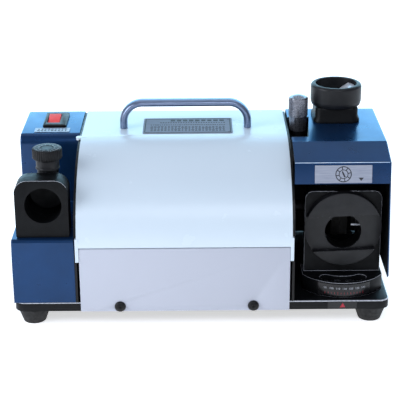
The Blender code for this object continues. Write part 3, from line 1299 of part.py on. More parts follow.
def build():
    base_plate()
    feet()
    frames()
    top_cover()
    front_panel()
    panel_screws()
    rear_panel()
    handle()
    nameplate()
    left_cover()
    switch_bezel()
    switch_rocker()
    switch_label()
    power_inlet()
    capacitor()
    setting_block()
    setting_housing()
    size_dial()
    tip_stop()
    right_cover()
    front_label()
    pit_tray()
    feed_pedestal()
    feed_knob()
    web_port()
    swivel()
    index_plate()
    carriage_rails()
    drive()
    wheel_guard()


build()
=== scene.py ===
"""Looks of the bench drill bit sharpener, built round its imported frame."""

import json
from functools import lru_cache
from math import asin, cos, pi, radians, sin, tan, tau

import bmesh
import bpy
from mathutils import Matrix, Vector


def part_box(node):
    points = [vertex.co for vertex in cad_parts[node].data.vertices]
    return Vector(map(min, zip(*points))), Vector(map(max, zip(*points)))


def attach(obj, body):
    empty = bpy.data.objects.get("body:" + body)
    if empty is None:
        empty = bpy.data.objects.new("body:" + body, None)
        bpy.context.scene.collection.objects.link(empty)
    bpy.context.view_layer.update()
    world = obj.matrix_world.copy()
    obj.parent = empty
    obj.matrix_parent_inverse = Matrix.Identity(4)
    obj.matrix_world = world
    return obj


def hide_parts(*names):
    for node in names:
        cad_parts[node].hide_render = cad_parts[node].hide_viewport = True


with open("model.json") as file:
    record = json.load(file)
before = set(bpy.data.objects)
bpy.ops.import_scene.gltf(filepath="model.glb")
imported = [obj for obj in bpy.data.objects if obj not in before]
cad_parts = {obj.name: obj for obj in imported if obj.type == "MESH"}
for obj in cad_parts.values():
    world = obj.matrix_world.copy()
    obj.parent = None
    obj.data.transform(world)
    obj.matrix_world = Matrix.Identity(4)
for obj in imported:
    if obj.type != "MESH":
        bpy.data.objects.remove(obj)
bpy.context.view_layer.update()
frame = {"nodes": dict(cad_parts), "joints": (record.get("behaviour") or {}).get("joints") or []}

bl_info = {
    "name": "Drill Bit Sharpener Looks",
    "version": (1, 0, 0),
    "blender": (4, 5, 0),
    "location": "3D View > Sidebar > Sharpener",
    "description": "Builds the visible pieces of a bench drill bit sharpener round its frame",
    "category": "Object",
}

GAP = 0.0003            # between pieces that would otherwise touch
OVER = 0.01             # how far a cutting tool reaches past the face that it opens
ROCKER_HALF = 0.0155    # half the rocker's length
SPINDLE_HOLE = 0.0043   # radius of the holes that the dial's and the knob's spindles turn in
SETTING_BORE = 0.02175  # radius of the setting port's bore
HOOD_SHEET = 0.0017     # the hood's steel sheet


def low(node):
    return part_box(node)[0]


def high(node):
    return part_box(node)[1]


def middle(node):
    return (low(node) + high(node)) / 2


# ---------------------------------------------------------------- settings in the sidebar
class SharpenerSizes(bpy.types.PropertyGroup):
    edge: bpy.props.FloatProperty(
        name="Casting edge", description="Radius of the machined edges", default=0.0008, unit="LENGTH")
    fold: bpy.props.FloatProperty(
        name="Sheet fold", description="Outside radius of the covers' side folds", default=0.0022,
        unit="LENGTH")
    curve: bpy.props.FloatProperty(
        name="Cover curve", description="Depth of the centre cover's curved front", default=0.132,
        unit="LENGTH")
    knurls: bpy.props.IntProperty(
        name="Knurl ridges", description="Ridges round the silver knob's band", default=44)
    flutes: bpy.props.IntProperty(
        name="Dial flutes", description="Grip flutes round the size dial", default=40)
    marks: bpy.props.IntProperty(
        name="Scale marks", description="Marks along the swivel's angle scale", default=13)
    vents: bpy.props.IntProperty(
        name="Vents", description="Louvres in the rear panel", default=14)


class SharpenerColours(bpy.types.PropertyGroup):
    white: bpy.props.StringProperty(
        name="White enamel", description="sRGB hex colour of the centre cover", default="D0DEE8")
    blue: bpy.props.StringProperty(
        name="Blue enamel", description="sRGB hex colour of the side covers", default="15365F")
    black: bpy.props.StringProperty(
        name="Black", description="sRGB hex colour of the anodised castings", default="0A0B0D")
    red: bpy.props.StringProperty(
        name="Rocker red", description="sRGB hex colour of the mains rocker", default="E32412")


def sizes():
    return bpy.context.scene.sharpener_sizes


def colours():
    return bpy.context.scene.sharpener_colours


# ---------------------------------------------------------------- colours and nodes
def hex_colour(code):
    """sRGB hex to linear RGBA."""
    channels = [int(code[i:i + 2], 16) / 255 for i in (0, 2, 4)]
    return (*[c / 12.92 if c <= 0.04045 else ((c + 0.055) / 1.055) ** 2.4 for c in channels], 1.0)


def add_node(tree, kind, inputs=None, **settings):
    """A node with its settings made, and with its inputs set to values or linked to sockets."""
    made = tree.nodes.new(kind)
    for name, value in settings.items():
        setattr(made, name, value)
    for name, value in (inputs or {}).items():
        if isinstance(value, bpy.types.NodeSocket):
            tree.links.new(value, made.inputs[name])
        else:
            made.inputs[name].default_value = value
    return made


def place_of(tree, stretch=(1, 1, 1)):
    """Object coordinates, stretched so that a pattern can run along an axis."""
    where = add_node(tree, "ShaderNodeTexCoord").outputs["Object"]
    return add_node(tree, "ShaderNodeMapping", {"Vector": where, "Scale": stretch}).outputs["Vector"]


def soft_noise(tree, where, size_mm, detail):
    """The value of a soft noise whose features are of that many millimetres."""
    inputs = {"Vector": where, "Scale": 1000.0 / size_mm, "Detail": detail}
    return add_node(tree, "ShaderNodeTexNoise", inputs).outputs["Fac"]


def mottle(tree, shader, where, tones, size_mm, detail):
    """Two shades of one colour in soft patches."""
    ramp = add_node(tree, "ShaderNodeValToRGB", {"Fac": soft_noise(tree, where, size_mm, detail)})
    for stop, position, colour in zip(ramp.color_ramp.elements, (0.35, 0.65), tones):
        stop.position = position
        stop.color = colour
    tree.links.new(ramp.outputs["Color"], shader.inputs["Base Color"])


def polish(tree, shader, where, smooth, rough, size_mm):
    """Roughness that wanders between two values."""
    spread = add_node(tree, "ShaderNodeMapRange", {
        "Value": soft_noise(tree, where, size_mm, 5.0), "From Min": 0.3, "From Max": 0.7,
        "To Min": smooth, "To Max": rough})
    tree.links.new(spread.outputs["Result"], shader.inputs["Roughness"])


def relief(tree, shader, where, size_mm, depth_mm, strength, detail=2.0):
    """Surface relief of that grain size and depth."""
    bump = add_node(tree, "ShaderNodeBump", {
        "Height": soft_noise(tree, where, size_mm, detail), "Distance": depth_mm / 1000,
        "Strength": strength})
    tree.links.new(bump.outputs["Normal"], shader.inputs["Normal"])


def tone(code, factor=1.0):
    """A hex colour, or a colour of the sidebar by its name, made darker or lighter."""
    if code in SharpenerColours.__annotations__:
        code = getattr(colours(), code)
    channels = [min(255, round(int(code[i:i + 2], 16) * factor)) for i in (0, 2, 4)]
    return hex_colour("".join(f"{c:02X}" for c in channels))


# ---------------------------------------------------------------- materials
def finish(name, roughness, tones, patch_mm, wander=None, grain=None, lie=(1, 1, 1), detail=4,
           glow=None, **sockets):
    """What makes one material, once.

    tones: the darker and the lighter colour, in soft patches of patch_mm with that much detail.
    wander: lowest and highest roughness, and the size in mm of the patches between them.
    grain: size and depth in mm of the relief, its strength and its detail.
    lie: how the patterns are stretched along X, Y and Z. glow: colour and strength of its own light.
    """
    @lru_cache(maxsize=None)
    def make():
        material = bpy.data.materials.new(name)
        material.use_nodes = True
        tree = material.node_tree
        shader = tree.nodes["Principled BSDF"]
        values = {"Roughness": roughness, **sockets}
        if glow:
            values.update(Emission_Color=tone(glow[0]), Emission_Strength=glow[1])
        for socket, value in values.items():
            shader.inputs[socket.replace("_", " ")].default_value = value
        where = place_of(tree, lie)
        mottle(tree, shader, where, [tone(*colour) for colour in tones], patch_mm, detail)
        if wander:
            polish(tree, shader, where, *wander)
        if grain:
            relief(tree, shader, where, *grain)
        return material
    return make


# Stoved enamel on steel sheet: glossy, with a shallow orange peel of about 3 mm.
white_enamel = finish(
    "white_stoved_enamel", 0.27, (("white", 0.996), ("white",)), 90, wander=(0.26, 0.275, 30),
    grain=(3.0, 0.02, 0.12), IOR=1.5, Specular_IOR_Level=0.35)
# The same stoved enamel, made greyer as painted shade on the flat lower panels.
panel_enamel_painted_shade = finish(
    "white_enamel_painted_shade", 0.28, (("B7BCC8",), ("B8BDC9",)), 90, wander=(0.28, 0.295, 30),
    grain=(3.0, 0.02, 0.12), IOR=1.5, Specular_IOR_Level=0.35)
# Stoved metallic blue enamel on steel sheet: deep from the front, bright where it mirrors a light.
blue_enamel = finish(
    "blue_stoved_enamel", 0.3, (("blue", 0.94), ("blue", 1.05)), 45, wander=(0.26, 0.34, 25),
    grain=(3.0, 0.02, 0.15), Metallic=0.6, IOR=1.45, Specular_IOR_Level=0.15,
    Specular_Tint=hex_colour("A0DCFF"), Coat_Weight=0.35, Coat_Roughness=0.15)
# Painted highlight: a pale strip of enamel along the hood's front fold, where the bend catches the light.
fold_painted_highlight = finish("fold_painted_highlight_enamel", 0.3, (("B4D4F0",), ("DCEBFA",)), 12, IOR=1.5)
# Cast iron with satin black paint: the sand casting's grain shows as a 1.5 mm relief.
cast_iron_paint = finish(
    "painted_cast_iron", 0.45, (("08090A",), ("0E0F12",)), 8, wander=(0.34, 0.5, 6),
    grain=(1.5, 0.05, 0.5, 4.0), IOR=1.5, Specular_IOR_Level=0.2)
# Black anodised aluminium, bead blasted: dull black, a fine 0.6 mm grain and paler rubbed patches.
black_anodised = finish(
    "black_anodised_aluminium", 0.4, (("black", 0.85), ("black", 1.25)), 12, wander=(0.36, 0.52, 8),
    grain=(0.6, 0.02, 0.5, 3.0), IOR=1.5, Specular_IOR_Level=0.15)
# Black anodised aluminium left as turned: a fine 0.8 mm grain gives it a dull sheen.
turned_anodised = finish(
    "turned_black_aluminium", 0.4, (("0E0F12",), ("16171A",)), 14, wander=(0.38, 0.5, 10),
    grain=(0.8, 0.015, 0.45, 3.0), IOR=1.5, Specular_IOR_Level=0.35)
# Pale colour with a little metal: a painted highlight on the castings' bevelled edges where they catch the
# light, and the bright steel of the cam bush and the bore's pin.
edge_highlight_and_bright_metal = finish(
    "painted_edge_highlight_and_bright_metal", 0.35, (("B4B8C0",), ("D8DBE2",)), 3, wander=(0.3, 0.42, 4), Metallic=0.2)
# Folded steel sheet with black oxide: nearly black, slightly oily. Also painted shade: it blacks the hood's
# inside, the port's bore sleeve and the parts deep in the hood.
black_steel = finish(
    "black_oxide_steel", 0.35, (("050607",), ("090A0B",)), 10, wander=(0.30, 0.48, 7),
    grain=(1.0, 0.01, 0.4), IOR=1.5, Specular_IOR_Level=0.3)
# Moulded black ABS with a spark eroded texture of about 0.5 mm.
black_plastic = finish(
    "moulded_black_abs", 0.45, (("08080A",), ("101012",)), 6, wander=(0.38, 0.52, 4),
    grain=(0.5, 0.02, 0.6, 3.0), IOR=1.46, Specular_IOR_Level=0.3)
# Printed label foil: flat gloss black.
gloss_black = finish(
    "gloss_black_foil", 0.2, (("0B0B0D",), ("131316",)), 15, wander=(0.16, 0.26, 12), IOR=1.46)
# Moulded translucent red polycarbonate with a faint glow in its own red: painted light that brightens the
# rocker.
red_plastic = finish(
    "red_polycarbonate", 0.35, (("red", 0.9), ("red",)), 10, wander=(0.3, 0.4, 6), glow=("red", 0.2),
    IOR=1.58, Specular_IOR_Level=0.1)
# Drawn steel bar with satin chrome plate: long faint draw lines along the bar.
chrome = finish(
    "satin_chrome_plate", 0.2, (("7886A0",), ("8996B0",)), 1.2, wander=(0.3, 0.38, 1.0),
    lie=(0.08, 1, 1), Metallic=1.0)
# Bright turned steel: close rings round a vertical axis.
turned_steel = finish(
    "turned_bright_steel", 0.28, (("6F7379",), ("B4B8BE",)), 0.9, wander=(0.2, 0.38, 0.8),
    grain=(0.6, 0.01, 0.5), lie=(0.15, 0.15, 1), Metallic=1.0)
# Knurled and turned stainless steel, darkened by oil in its grooves.
knurled_steel = finish(
    "knurled_stainless", 0.3, (("6E7078",), ("9A9CA4",)), 1.6, wander=(0.24, 0.34, 1.2),
    grain=(0.5, 0.008, 0.4), Metallic=0.85)
# Brushed and lacquered aluminium label: fine lines along its length.
label_foil = finish(
    "brushed_aluminium_label", 0.4, (("8C92A2",), ("A0A6B4",)), 0.8, wander=(0.36, 0.48, 0.7),
    lie=(0.04, 1, 1), Metallic=0.4)
# Etched aluminium plate under a matt lacquer: a flat mid grey with very fine lines.
plate_foil = finish(
    "etched_aluminium_plate", 0.55, (("767C8A",), ("868C9A",)), 0.8, lie=(0.04, 1, 1),
    Specular_IOR_Level=0.1)
# Dark screen print, matt and slightly uneven.
print_ink = finish("screen_print_ink", 0.6, (("14161C",), ("20222A",)), 0.8)
# White fill in engraved marks, a little worn.
white_ink = finish("white_mark_fill", 0.5, (("8E9299",), ("B9BDC4",)), 1.0)
# Red fill of the scale's marks and of the index.
red_ink = finish("red_mark_fill", 0.4, (("8C0C24",), ("B01432",)), 1.5)
# Moulded nitrile rubber: matt black with a dusty bloom.
rubber = finish(
    "moulded_rubber", 0.75, (("070708",), ("0F0F10",)), 7, wander=(0.6, 0.85, 5),
    grain=(0.8, 0.03, 0.6, 4.0), IOR=1.52)
# Resin bonded abrasive: dark, with specks of 0.4 mm grit.
abrasive = finish(
    "bonded_abrasive", 0.9, (("121110",), ("2A2825",)), 0.5, grain=(0.4, 0.12, 1.0, 6.0), detail=8.0)
# Grey hammer finish enamel on the motor: 4 mm dimples.
motor_enamel = finish(
    "grey_hammer_enamel", 0.35, (("6A7078",), ("7D838B",)), 5, grain=(4.0, 0.08, 0.6), IOR=1.5)
# Die cast aluminium: pale, dull metal with a soft flow pattern.
cast_aluminium = finish(
    "die_cast_aluminium", 0.45, (("8C9096",), ("A9ADB3",)), 9, wander=(0.38, 0.55, 5),
    grain=(1.2, 0.03, 0.5), Metallic=1.0)
# Pale studio paper: matt white with a barely visible tooth.
floor_paper = finish("studio_paper", 0.85, (("FBFBFC",), ("FFFFFF",)), 400, glow=("FFFFFF", 0.6))


# ---------------------------------------------------------------- outlines, as in a sheet metal drawing
def rounded(corners, steps=8):
    """Outline through (u, v, radius) corners, each turned into an arc of its radius."""
    outline = []
    for i, (u, v, radius) in enumerate(corners):
        corner = Vector((u, v))
        if radius == 0:
            outline.append(corner)
            continue
        back = (Vector(corners[i - 1][:2]) - corner).normalized()
        ahead = (Vector(corners[(i + 1) % len(corners)][:2]) - corner).normalized()
        half = back.angle(ahead) / 2
        centre = corner + (back + ahead).normalized() * radius / sin(half)
        start = corner + back * radius / tan(half) - centre
        turn = (pi - 2 * half) * (1 if back.cross(ahead) < 0 else -1)
        for k in range(steps + 1):
            outline.append(centre + Matrix.Rotation(turn * k / steps, 2) @ start)
    return outline


def rectangle(u0, v0, u1, v1, radius=0.0, steps=6):
    return rounded([(u0, v0, radius), (u1, v0, radius), (u1, v1, radius), (u0, v1, radius)], steps)


def shifted(points, distance, closed=True):
    """The points moved sideways by distance, to the left of the direction of travel."""
    moved = []
    for i, point in enumerate(points):
        sides = []
        if closed or i > 0:
            sides.append((point - points[i - 1]).normalized().orthogonal())
        if closed or i < len(points) - 1:
            sides.append((points[(i + 1) % len(points)] - point).normalized().orthogonal())
        share = 1 + sides[0].dot(sides[1]) if len(sides) == 2 else 1
        moved.append(point + sum(sides, Vector((0, 0))) * distance / share)
    return moved


def strip(path, thickness):
    """A sheet's section: the open path, and the path moved to its right by the thickness."""
    return path + shifted(path, -thickness, closed=False)[::-1]


def circle(centre, radius, steps=96, ripple=0.0, teeth=0):
    """A circle, or with ripple and teeth a fluted one that stays inside the radius."""
    points = []
    for k in range(steps):
        angle = tau * k / steps
        depth = ripple * (0.5 - 0.5 * cos(teeth * angle))
        points.append(Vector(centre) + (radius - depth) * Vector((cos(angle), sin(angle))))
    return points


def arc_slot(centre, radius, half_width, half_angle, steps=48):
    """A slot of even width round the centre, facing -v, with a round end at each side."""
    outline = []
    for side in (1, -1):
        angles = [-pi / 2 + side * half_angle * (2 * k / steps - 1) for k in range(steps + 1)]
        reach = radius + side * half_width
        outline += [Vector(centre) + reach * Vector((cos(a), sin(a))) for a in angles]
        end = angles[-1]
        tip = Vector(centre) + radius * Vector((cos(end), sin(end)))
        start = end if side == 1 else end + pi
        turns = [start + pi * k / 12 for k in range(1, 12)]
        outline += [tip + half_width * Vector((cos(a), sin(a))) for a in turns]
    return outline


def sector(centre, inner, outer, half_angle, steps=48):
    """Part of a ring about the centre, facing -v."""
    angles = [-pi / 2 - half_angle + 2 * half_angle * k / steps for k in range(steps + 1)]
    arc = [Vector((cos(angle), sin(angle))) for angle in angles]
    centre = Vector(centre)
    return [centre + outer * d for d in arc] + [centre + inner * d for d in reversed(arc)]


# ---------------------------------------------------------------- solids
def spot(axis, u, v, w):
    return {"X": (w, u, v), "Y": (u, w, v), "Z": (u, v, w)}[axis]


def linked(name, data):
    """A new object of the scene that holds the data."""
    made = bpy.data.objects.new(name, data)
    bpy.context.scene.collection.objects.link(made)
    return made


def from_bmesh(name, mesh, materials):
    data = bpy.data.meshes.new(name)
    mesh.to_mesh(data)
    mesh.free()
    for material in materials:
        data.materials.append(material)
    return linked(name, data)


def evaluated_mesh(body):
    """The body's mesh with its modifiers applied."""
    bpy.context.view_layer.update()
    graph = bpy.context.evaluated_depsgraph_get()
    return bpy.data.meshes.new_from_object(body.evaluated_get(graph))


def add(name, mesh, *materials):
    bmesh.ops.recalc_face_normals(mesh, faces=mesh.faces)
    return from_bmesh(name, mesh, materials)


def close(mesh, rings):
    """Faces across the first and the last ring and between each ring and the next."""
    mesh.faces.new(rings[0])
    mesh.faces.new(rings[-1])
    for below, above in zip(rings, rings[1:]):
        for i in range(len(below)):
            mesh.faces.new((below[i - 1], below[i], above[i], above[i - 1]))


def loft(name, axis, sections, *materials):
    """A closed solid through outlines of equal count, each given as (place along the axis, outline)."""
    mesh = bmesh.new()
    rings = [[mesh.verts.new(spot(axis, p[0], p[1], w)) for p in outline] for w, outline in sections]
    close(mesh, rings)
    return add(name, mesh, *materials)


def prism(name, axis, outline, start, end, *materials):
    return loft(name, axis, [(start, outline), (end, outline)], *materials)


def face_of(corner, opposite, across="xy", radius=0.0, steps=6):
    """A box's outline as seen along its third axis."""
    (u0, u1), (v0, v1) = [(getattr(corner, axis), getattr(opposite, axis)) for axis in across]
    return rectangle(u0, v0, u1, v1, radius, steps)


def block(name, corner, opposite, *materials):
    corner, opposite = Vector(corner), Vector(opposite)
    return prism(name, "Z", face_of(corner, opposite), corner.z, opposite.z, *materials)


def turned(name, axis, centre, profile, *materials, segments=96):
    """A closed solid of revolution from (radius, place along the axis) points, which close on themselves."""
    mesh = bmesh.new()
    rings = []
    for radius, along in profile:
        if radius < 1e-7:
            rings.append([mesh.verts.new(spot(axis, centre[0], centre[1], along))] * segments)
            continue
        ring = []
        for t in (tau * k / segments for k in range(segments)):
            u, v = centre[0] + radius * cos(t), centre[1] + radius * sin(t)
            ring.append(mesh.verts.new(spot(axis, u, v, along)))
        rings.append(ring)
    for below, above in zip(rings, rings[1:] + rings[:1]):
        for i in range(segments):
            corners = tuple(dict.fromkeys((below[i - 1], below[i], above[i], above[i - 1])))
            if len(corners) > 2:
                mesh.faces.new(corners)
    return add(name, mesh, *materials)


def rod(name, axis, centre, radius, start, end, *materials, segments=96):
    return turned(name, axis, centre, [(0, start), (radius, start), (radius, end), (0, end)], *materials,
                  segments=segments)


def tube(name, axis, centre, inner, outer, start, end, *materials, edge=0.0004, segments=96):
    """A turned ring with broken edges."""
    profile = rounded([(inner, start, edge), (outer, start, edge), (outer, end, edge), (inner, end, edge)], 3)
    return turned(name, axis, centre, [tuple(p) for p in profile], *materials, segments=segments)


def combine(body, operation, tools):
    """Applies each tool and removes it; a tool with a material leaves it on the faces that it makes."""
    for tool in tools:
        modifier = body.modifiers.new(tool.name, "BOOLEAN")
        modifier.operation = operation
        modifier.object = tool
        if tool.data.materials:
            modifier.material_mode = "TRANSFER"
        apply_modifiers(body)
        bpy.data.objects.remove(tool, do_unlink=True)
    return body


def cut(body, *tools):
    return combine(body, "DIFFERENCE", tools)


def join(body, *tools):
    return combine(body, "UNION", tools)


def apply_modifiers(body):
    """The evaluated mesh takes the place of the object's own."""
    mesh = evaluated_mesh(body)
    body.modifiers.clear()
    body.data = mesh


def soften(body, radius, segments=3, where=None, angle=30.0, material=-1):
    """Rounds the body's sharp edges, or those of them whose two ends pass the test."""
    mesh = bmesh.new()
    mesh.from_mesh(body.data)
    bmesh.ops.remove_doubles(mesh, verts=mesh.verts, dist=1e-6)
    bmesh.ops.dissolve_limit(mesh, angle_limit=radians(0.5), verts=mesh.verts, edges=mesh.edges)
    sharp = []
    for edge in mesh.edges:
        if len(edge.link_faces) != 2 or edge.calc_face_angle() < radians(angle):
            continue
        if where is None or all(where(vertex.co) for vertex in edge.verts):
            sharp.append(edge)
    bmesh.ops.bevel(mesh, geom=sharp, offset=radius, offset_type="OFFSET", segments=segments, profile=0.5,
                    affect="EDGES", clamp_overlap=True, material=material, harden_normals=False)
    bmesh.ops.recalc_face_normals(mesh, faces=mesh.faces)
    mesh.to_mesh(body.data)
    mesh.free()
    return body


def finished(piece, body, slot, *nodes, angle=32.0):
    """Smooths the piece's curved faces, puts it on its body and hides the nodes that it stands for; its slot
    is not used.
    """
    piece.data.shade_smooth()
    piece.data.set_sharp_from_angle(angle=radians(angle))
    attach(piece, body)
    if nodes:
        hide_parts(*nodes)
    return piece


# ---------------------------------------------------------------- geometry nodes for what repeats
def new_tree(name, inputs):
    """A geometry node tree with named inputs, given as (name, socket kind, default)."""
    tree = bpy.data.node_groups.new(name, "GeometryNodeTree")
    tree.interface.new_socket("Geometry", in_out="INPUT", socket_type="NodeSocketGeometry")
    for label, kind, default in inputs:
        socket = tree.interface.new_socket(label, in_out="INPUT", socket_type=f"NodeSocket{kind}")
        if default is not None:
            socket.default_value = default
    tree.interface.new_socket("Geometry", in_out="OUTPUT", socket_type="NodeSocketGeometry")
    return tree, add_node(tree, "NodeGroupInput").outputs


def end_tree(tree, instances, material):
    """The instances made real, with their material, at the tree's output."""
    real = add_node(tree, "GeometryNodeRealizeInstances", {"Geometry": instances}).outputs[0]
    painted = add_node(tree, "GeometryNodeSetMaterial", {"Geometry": real, "Material": material}).outputs[0]
    add_node(tree, "NodeGroupOutput", {"Geometry": painted})
    return tree


def maths(tree, operation, first, second=0.0):
    made = add_node(tree, "ShaderNodeMath", operation=operation)
    for socket, value in zip(made.inputs, (first, second)):
        if isinstance(value, bpy.types.NodeSocket):
            tree.links.new(value, socket)
        else:
            socket.default_value = value
    return made.outputs[0]


@lru_cache(maxsize=None)
def ring_tree():
    """Small blocks spaced round an arc; every so many of them is longer, as on a scale."""
    tree, given = new_tree("ring_of_marks", [
        ("Count", "Int", 12), ("Radius", "Float", 0.02), ("Arc", "Float", tau), ("Start", "Float", 0.0),
        ("Size", "Vector", (0.001, 0.001, 0.001)), ("Every", "Int", 1), ("Stretch", "Float", 1.0),
        ("Along", "Int", 0), ("Material", "Material", None),
    ])
    points = add_node(tree, "GeometryNodeMeshLine", {"Count": given["Count"]}).outputs["Mesh"]
    index = add_node(tree, "GeometryNodeInputIndex").outputs[0]
    share = maths(tree, "DIVIDE", index, maths(tree, "SUBTRACT", given["Count"], 1.0))
    angle = maths(tree, "ADD", given["Start"], maths(tree, "MULTIPLY", given["Arc"], share))
    place = add_node(tree, "ShaderNodeCombineXYZ", {
        "X": maths(tree, "MULTIPLY", given["Radius"], maths(tree, "COSINE", angle)),
        "Y": maths(tree, "MULTIPLY", given["Radius"], maths(tree, "SINE", angle)),
    }).outputs[0]
    placed = add_node(tree, "GeometryNodeSetPosition", {"Geometry": points, "Position": place}).outputs[0]
    cube = add_node(tree, "GeometryNodeMeshCube", {"Size": given["Size"]}).outputs["Mesh"]
    turn = add_node(tree, "ShaderNodeCombineXYZ", {"Z": angle}).outputs[0]
    major = maths(tree, "LESS_THAN", maths(tree, "MODULO", index, given["Every"]), 0.5)
    extra = maths(tree, "MULTIPLY", major, maths(tree, "SUBTRACT", given["Stretch"], 1.0))
    flat = maths(tree, "SUBTRACT", 1.0, given["Along"])
    across = maths(tree, "ADD", 1.0, maths(tree, "MULTIPLY", extra, flat))
    along = maths(tree, "ADD", 1.0, maths(tree, "MULTIPLY", extra, given["Along"]))
    scale = add_node(tree, "ShaderNodeCombineXYZ", {"X": across, "Y": 1.0, "Z": along}).outputs[0]
    copies = add_node(tree, "GeometryNodeInstanceOnPoints", {
        "Points": placed, "Instance": cube, "Rotation": turn, "Scale": scale}).outputs[0]
    return end_tree(tree, copies, given["Material"])


@lru_cache(maxsize=None)
def dash_tree():
    """Rows of small blocks whose lengths vary, as lines of print do."""
    tree, given = new_tree("rows_of_dashes", [
        ("Columns", "Int", 10), ("Rows", "Int", 3), ("Width", "Float", 0.1), ("Depth", "Float", 0.03),
        ("Size", "Vector", (0.004, 0.001, 0.0001)), ("Shortest", "Float", 0.5), ("Seed", "Int", 7),
        ("Material", "Material", None),
    ])
    grid = add_node(tree, "GeometryNodeMeshGrid", {
        "Size X": given["Width"], "Size Y": given["Depth"], "Vertices X": given["Columns"],
        "Vertices Y": given["Rows"]}).outputs["Mesh"]
    cube = add_node(tree, "GeometryNodeMeshCube", {"Size": given["Size"]}).outputs["Mesh"]
    random = add_node(tree, "FunctionNodeRandomValue", {"Seed": given["Seed"]}, data_type="FLOAT")
    tree.links.new(given["Shortest"], random.inputs[2])
    random.inputs[3].default_value = 1.0
    scale = add_node(tree, "ShaderNodeCombineXYZ", {"X": random.outputs[1], "Y": 1.0, "Z": 1.0}).outputs[0]
    copies = add_node(tree, "GeometryNodeInstanceOnPoints", {
        "Points": grid, "Instance": cube, "Scale": scale}).outputs[0]
    return end_tree(tree, copies, given["Material"])


@lru_cache(maxsize=None)
def screw_tree():
    """Round headed screws with a cross recess, one on each point, facing +Z."""
    tree, given = new_tree("cross_screws", [
        ("Head Radius", "Float", 0.004), ("Head Height", "Float", 0.0022), ("Recess", "Float", 0.0024),
        ("Material", "Material", None),
    ])
    dome = add_node(tree, "GeometryNodeMeshUVSphere", {
        "Segments": 32, "Rings": 16, "Radius": given["Head Radius"]}).outputs["Mesh"]
    flat = maths(tree, "DIVIDE", given["Head Height"], given["Head Radius"])
    squash = add_node(tree, "ShaderNodeCombineXYZ", {"X": 1.0, "Y": 1.0, "Z": flat}).outputs[0]
    head = add_node(tree, "GeometryNodeTransform", {"Geometry": dome, "Scale": squash}).outputs[0]
    width = maths(tree, "MULTIPLY", given["Recess"], 0.28)
    depth = maths(tree, "MULTIPLY", given["Head Height"], 1.2)
    bars = []
    for name in ("X", "Y"):
        size = {"X": width, "Y": width, "Z": depth}
        size[name] = maths(tree, "MULTIPLY", given["Recess"], 2.0)
        shape = add_node(tree, "ShaderNodeCombineXYZ", size).outputs[0]
        bars.append(add_node(tree, "GeometryNodeMeshCube", {"Size": shape}).outputs["Mesh"])
    up = add_node(tree, "ShaderNodeCombineXYZ", {"Z": given["Head Height"]}).outputs[0]
    cross = add_node(tree, "GeometryNodeMeshBoolean", operation="UNION", solver="EXACT")
    for bar in bars:
        tree.links.new(bar, cross.inputs[1])
    raised = add_node(tree, "GeometryNodeTransform", {
        "Geometry": cross.outputs[0], "Translation": up}).outputs[0]
    carved = add_node(tree, "GeometryNodeMeshBoolean", operation="DIFFERENCE", solver="EXACT")
    tree.links.new(head, carved.inputs[0])
    tree.links.new(raised, carved.inputs[1])
    copies = add_node(tree, "GeometryNodeInstanceOnPoints", {
        "Points": given["Geometry"], "Instance": carved.outputs[0]}).outputs[0]
    return end_tree(tree, copies, given["Material"])


def grown(name, tree, values, matrix, points=((0, 0, 0),)):
    """What the tree makes from those input values, as a plain mesh put in place by the matrix."""
    data = bpy.data.meshes.new(name)
    data.from_pydata([Vector(p) for p in points], [], [])
    piece = linked(name, data)
    modifier = piece.modifiers.new(name, "NODES")
    modifier.node_group = tree
    for item in tree.interface.items_tree:
        if item.item_type == "SOCKET" and item.in_out == "INPUT" and item.name in values:
            modifier[item.identifier] = values[item.name]
    apply_modifiers(piece)
    piece.data.transform(matrix)
    return piece


def turned_to(place, axis=(0, 0, 1), spin=0.0):
    """A matrix that takes +Z to the axis and the origin to the place."""
    turn = Vector(axis).to_track_quat("Z", "Y").to_matrix().to_4x4()
    return Matrix.Translation(place) @ turn @ Matrix.Rotation(spin, 4, "Z")


def number(name, text, height, matrix, material, depth=0.00012):
    """A numeral on a scale, as a plain mesh."""
    curve = bpy.data.curves.new(name, "FONT")
    curve.body = text
    curve.size = height
    curve.align_x = "CENTER"
    curve.align_y = "CENTER"
    curve.extrude = depth / 2
    curve.resolution_u = 2
    letters = linked(name, curve)
    mesh = evaluated_mesh(letters)
    bpy.data.objects.remove(letters, do_unlink=True)
    mesh.transform(matrix)
    mesh.materials.clear()
    mesh.materials.append(material)
    return linked(name, mesh)


def merged(name, pieces):
    """Several objects' meshes as one, with their materials."""
    mesh = bmesh.new()
    materials = []
    for piece in pieces:
        start = len(mesh.faces)
        mesh.from_mesh(piece.data)
        mesh.faces.ensure_lookup_table()
        own = list(piece.data.materials)
        for face in mesh.faces[start:]:
            material = own[face.material_index] if own else None
            if material not in materials:
                materials.append(material)
            face.material_index = materials.index(material)
        bpy.data.objects.remove(piece, do_unlink=True)
    return from_bmesh(name, mesh, materials)


# ---------------------------------------------------------------- shared places, all from the frame
COVER_LEFT = high("left_frame").x + GAP
COVER_RIGHT = low("right_frame").x - GAP
COVER_FRONT = low("top_cover").y
COVER_TOP = high("top_cover").z
SEAM = high("front_panel").z + 0.0011
SHEET = 0.0015
DECK = high("base_plate").z + GAP
LEFT_END = low("base_plate").x
RIGHT_END = high("base_plate").x
FRONT = low("base_plate").y
BACK = high("base_plate").y
HOOD_LEFT = low("right_cover").x
HOOD_TOP = high("right_cover").z
SHAFT = Vector((middle("grinding_wheel").y, middle("grinding_wheel").z))
SETTING = Vector((middle("setting_housing").x, low("setting_block").z + 0.0397))
JOINTS = {joint["name"]: joint for joint in frame["joints"]}


def pivot(name):
    return Vector(JOINTS[name]["pos_m"])


